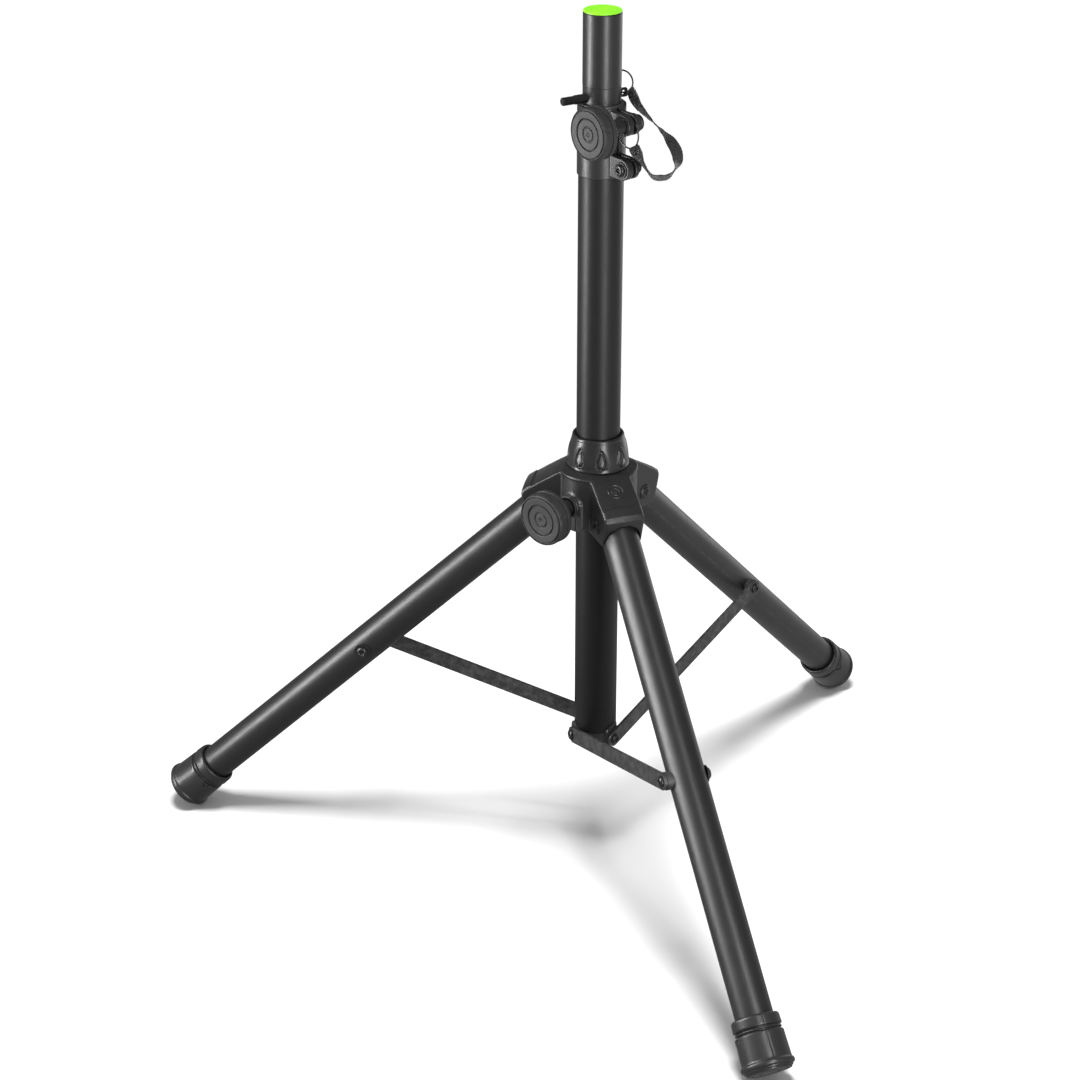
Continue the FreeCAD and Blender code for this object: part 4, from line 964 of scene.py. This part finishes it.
dim = nt.nodes.new("ShaderNodeEmission")
dim.inputs["Color"].default_value = (1, 1, 1, 1)
apart = nt.nodes.new("ShaderNodeSeparateXYZ")
nt.links.new(where.outputs["Object"], apart.inputs[0])
pale = nt.nodes.new("ShaderNodeMapRange")
pale.interpolation_type = "SMOOTHSTEP"
pale.inputs["From Min"].default_value = -0.15
pale.inputs["From Max"].default_value = 0.55
pale.inputs["To Min"].default_value = 0.23
pale.inputs["To Max"].default_value = 0.62
nt.links.new(apart.outputs["X"], pale.inputs["Value"])
nt.links.new(pale.outputs["Result"], dim.inputs["Strength"])
mixer = nt.nodes.new("ShaderNodeMixShader")
nt.links.new(lp.outputs["Is Glossy Ray"], mixer.inputs[0])
nt.links.new(sweep.outputs[0], mixer.inputs[1])
nt.links.new(dim.outputs[0], mixer.inputs[2])
nt.links.new(mixer.outputs[0], nt.nodes["Material Output"].inputs["Surface"])
floor_mesh.materials.append(fm)

world = bpy.data.worlds.new("studio")
scene.world = world
world.use_nodes = True
wn = world.node_tree
bg = wn.nodes["Background"]
bg.inputs["Color"].default_value = (1, 1, 1, 1)
bg.inputs["Strength"].default_value = 0.16
bg2 = wn.nodes.new("ShaderNodeBackground")
bg2.inputs["Color"].default_value = (1, 1, 1, 1)
bg2.inputs["Strength"].default_value = 1.0
wl = wn.nodes.new("ShaderNodeLightPath")
soft = wn.nodes.new("ShaderNodeMix")
soft.data_type = "FLOAT"
soft.inputs[2].default_value = 0.42
soft.inputs[3].default_value = 0.09
wn.links.new(wl.outputs["Is Glossy Ray"], soft.inputs[0])
wn.links.new(soft.outputs[0], bg.inputs["Strength"])
wm = wn.nodes.new("ShaderNodeMixShader")
wn.links.new(wl.outputs["Is Camera Ray"], wm.inputs[0])
wn.links.new(bg.outputs[0], wm.inputs[1])
wn.links.new(bg2.outputs[0], wm.inputs[2])
wn.links.new(wm.outputs[0], wn.nodes["World Output"].inputs["Surface"])

skip = bpy.data.collections.new("not_floor")
skip.objects.link(floor)
skip.collection_objects[0].light_linking.link_state = "EXCLUDE"


def area(name, where, target, sx, sy, power, glossy=True, on_floor=False):
    d = bpy.data.lights.new(name, "AREA")
    d.shape, d.size, d.size_y, d.energy = "RECTANGLE", sx, sy, power
    o = bpy.data.objects.new(name, d)
    scene.collection.objects.link(o)
    where, target = Vector(where), Vector(target)
    o.location = where
    o.rotation_euler = (target - where).to_track_quat("-Z", "Y").to_euler()
    o.visible_camera = False
    o.visible_glossy = glossy
    if not on_floor:
        o.light_linking.receiver_collection = skip
    return o


area("overhead_box", (-0.263, -0.530, 5.600), (0, 0, 0.1), 1.5, 1.5, 330, glossy=False, on_floor=True)
left_dir = az(-111.3 - 78)
area("left_strip", left_dir * 1.05 + UP * 0.84, (0, 0, 0.84), 0.16, 1.4, 25)
right_dir = az(-111.3 + 24)
area("right_strip", right_dir * 1.2 + UP * 0.66, (0, 0, 0.66), 0.17, 1.35, 15)
high = az(-111.3 + 26) * (math.cos(rad(60)) * 2.0) + UP * (0.3 + math.sin(rad(60)) * 2.0)
area("high_strip", high, (0, 0, 0.3), 0.35, 0.5, 4)
near = bpy.data.collections.new("front_leg_only")
for part in ("leg_sleeve_front", "foot_cup_front"):
    near.objects.link(bpy.data.objects[part])
area("left_low", (-1.07, -0.13, 0.60), (0.0, -0.23, 0.22), 0.14, 0.9, 9).light_linking.receiver_collection = near
rim_dir = az(-111.3 + 138)
area("rim_panel", rim_dir * 1.4 + UP * 0.55, (0, 0, 0.55), 0.7, 1.3, 3.2)
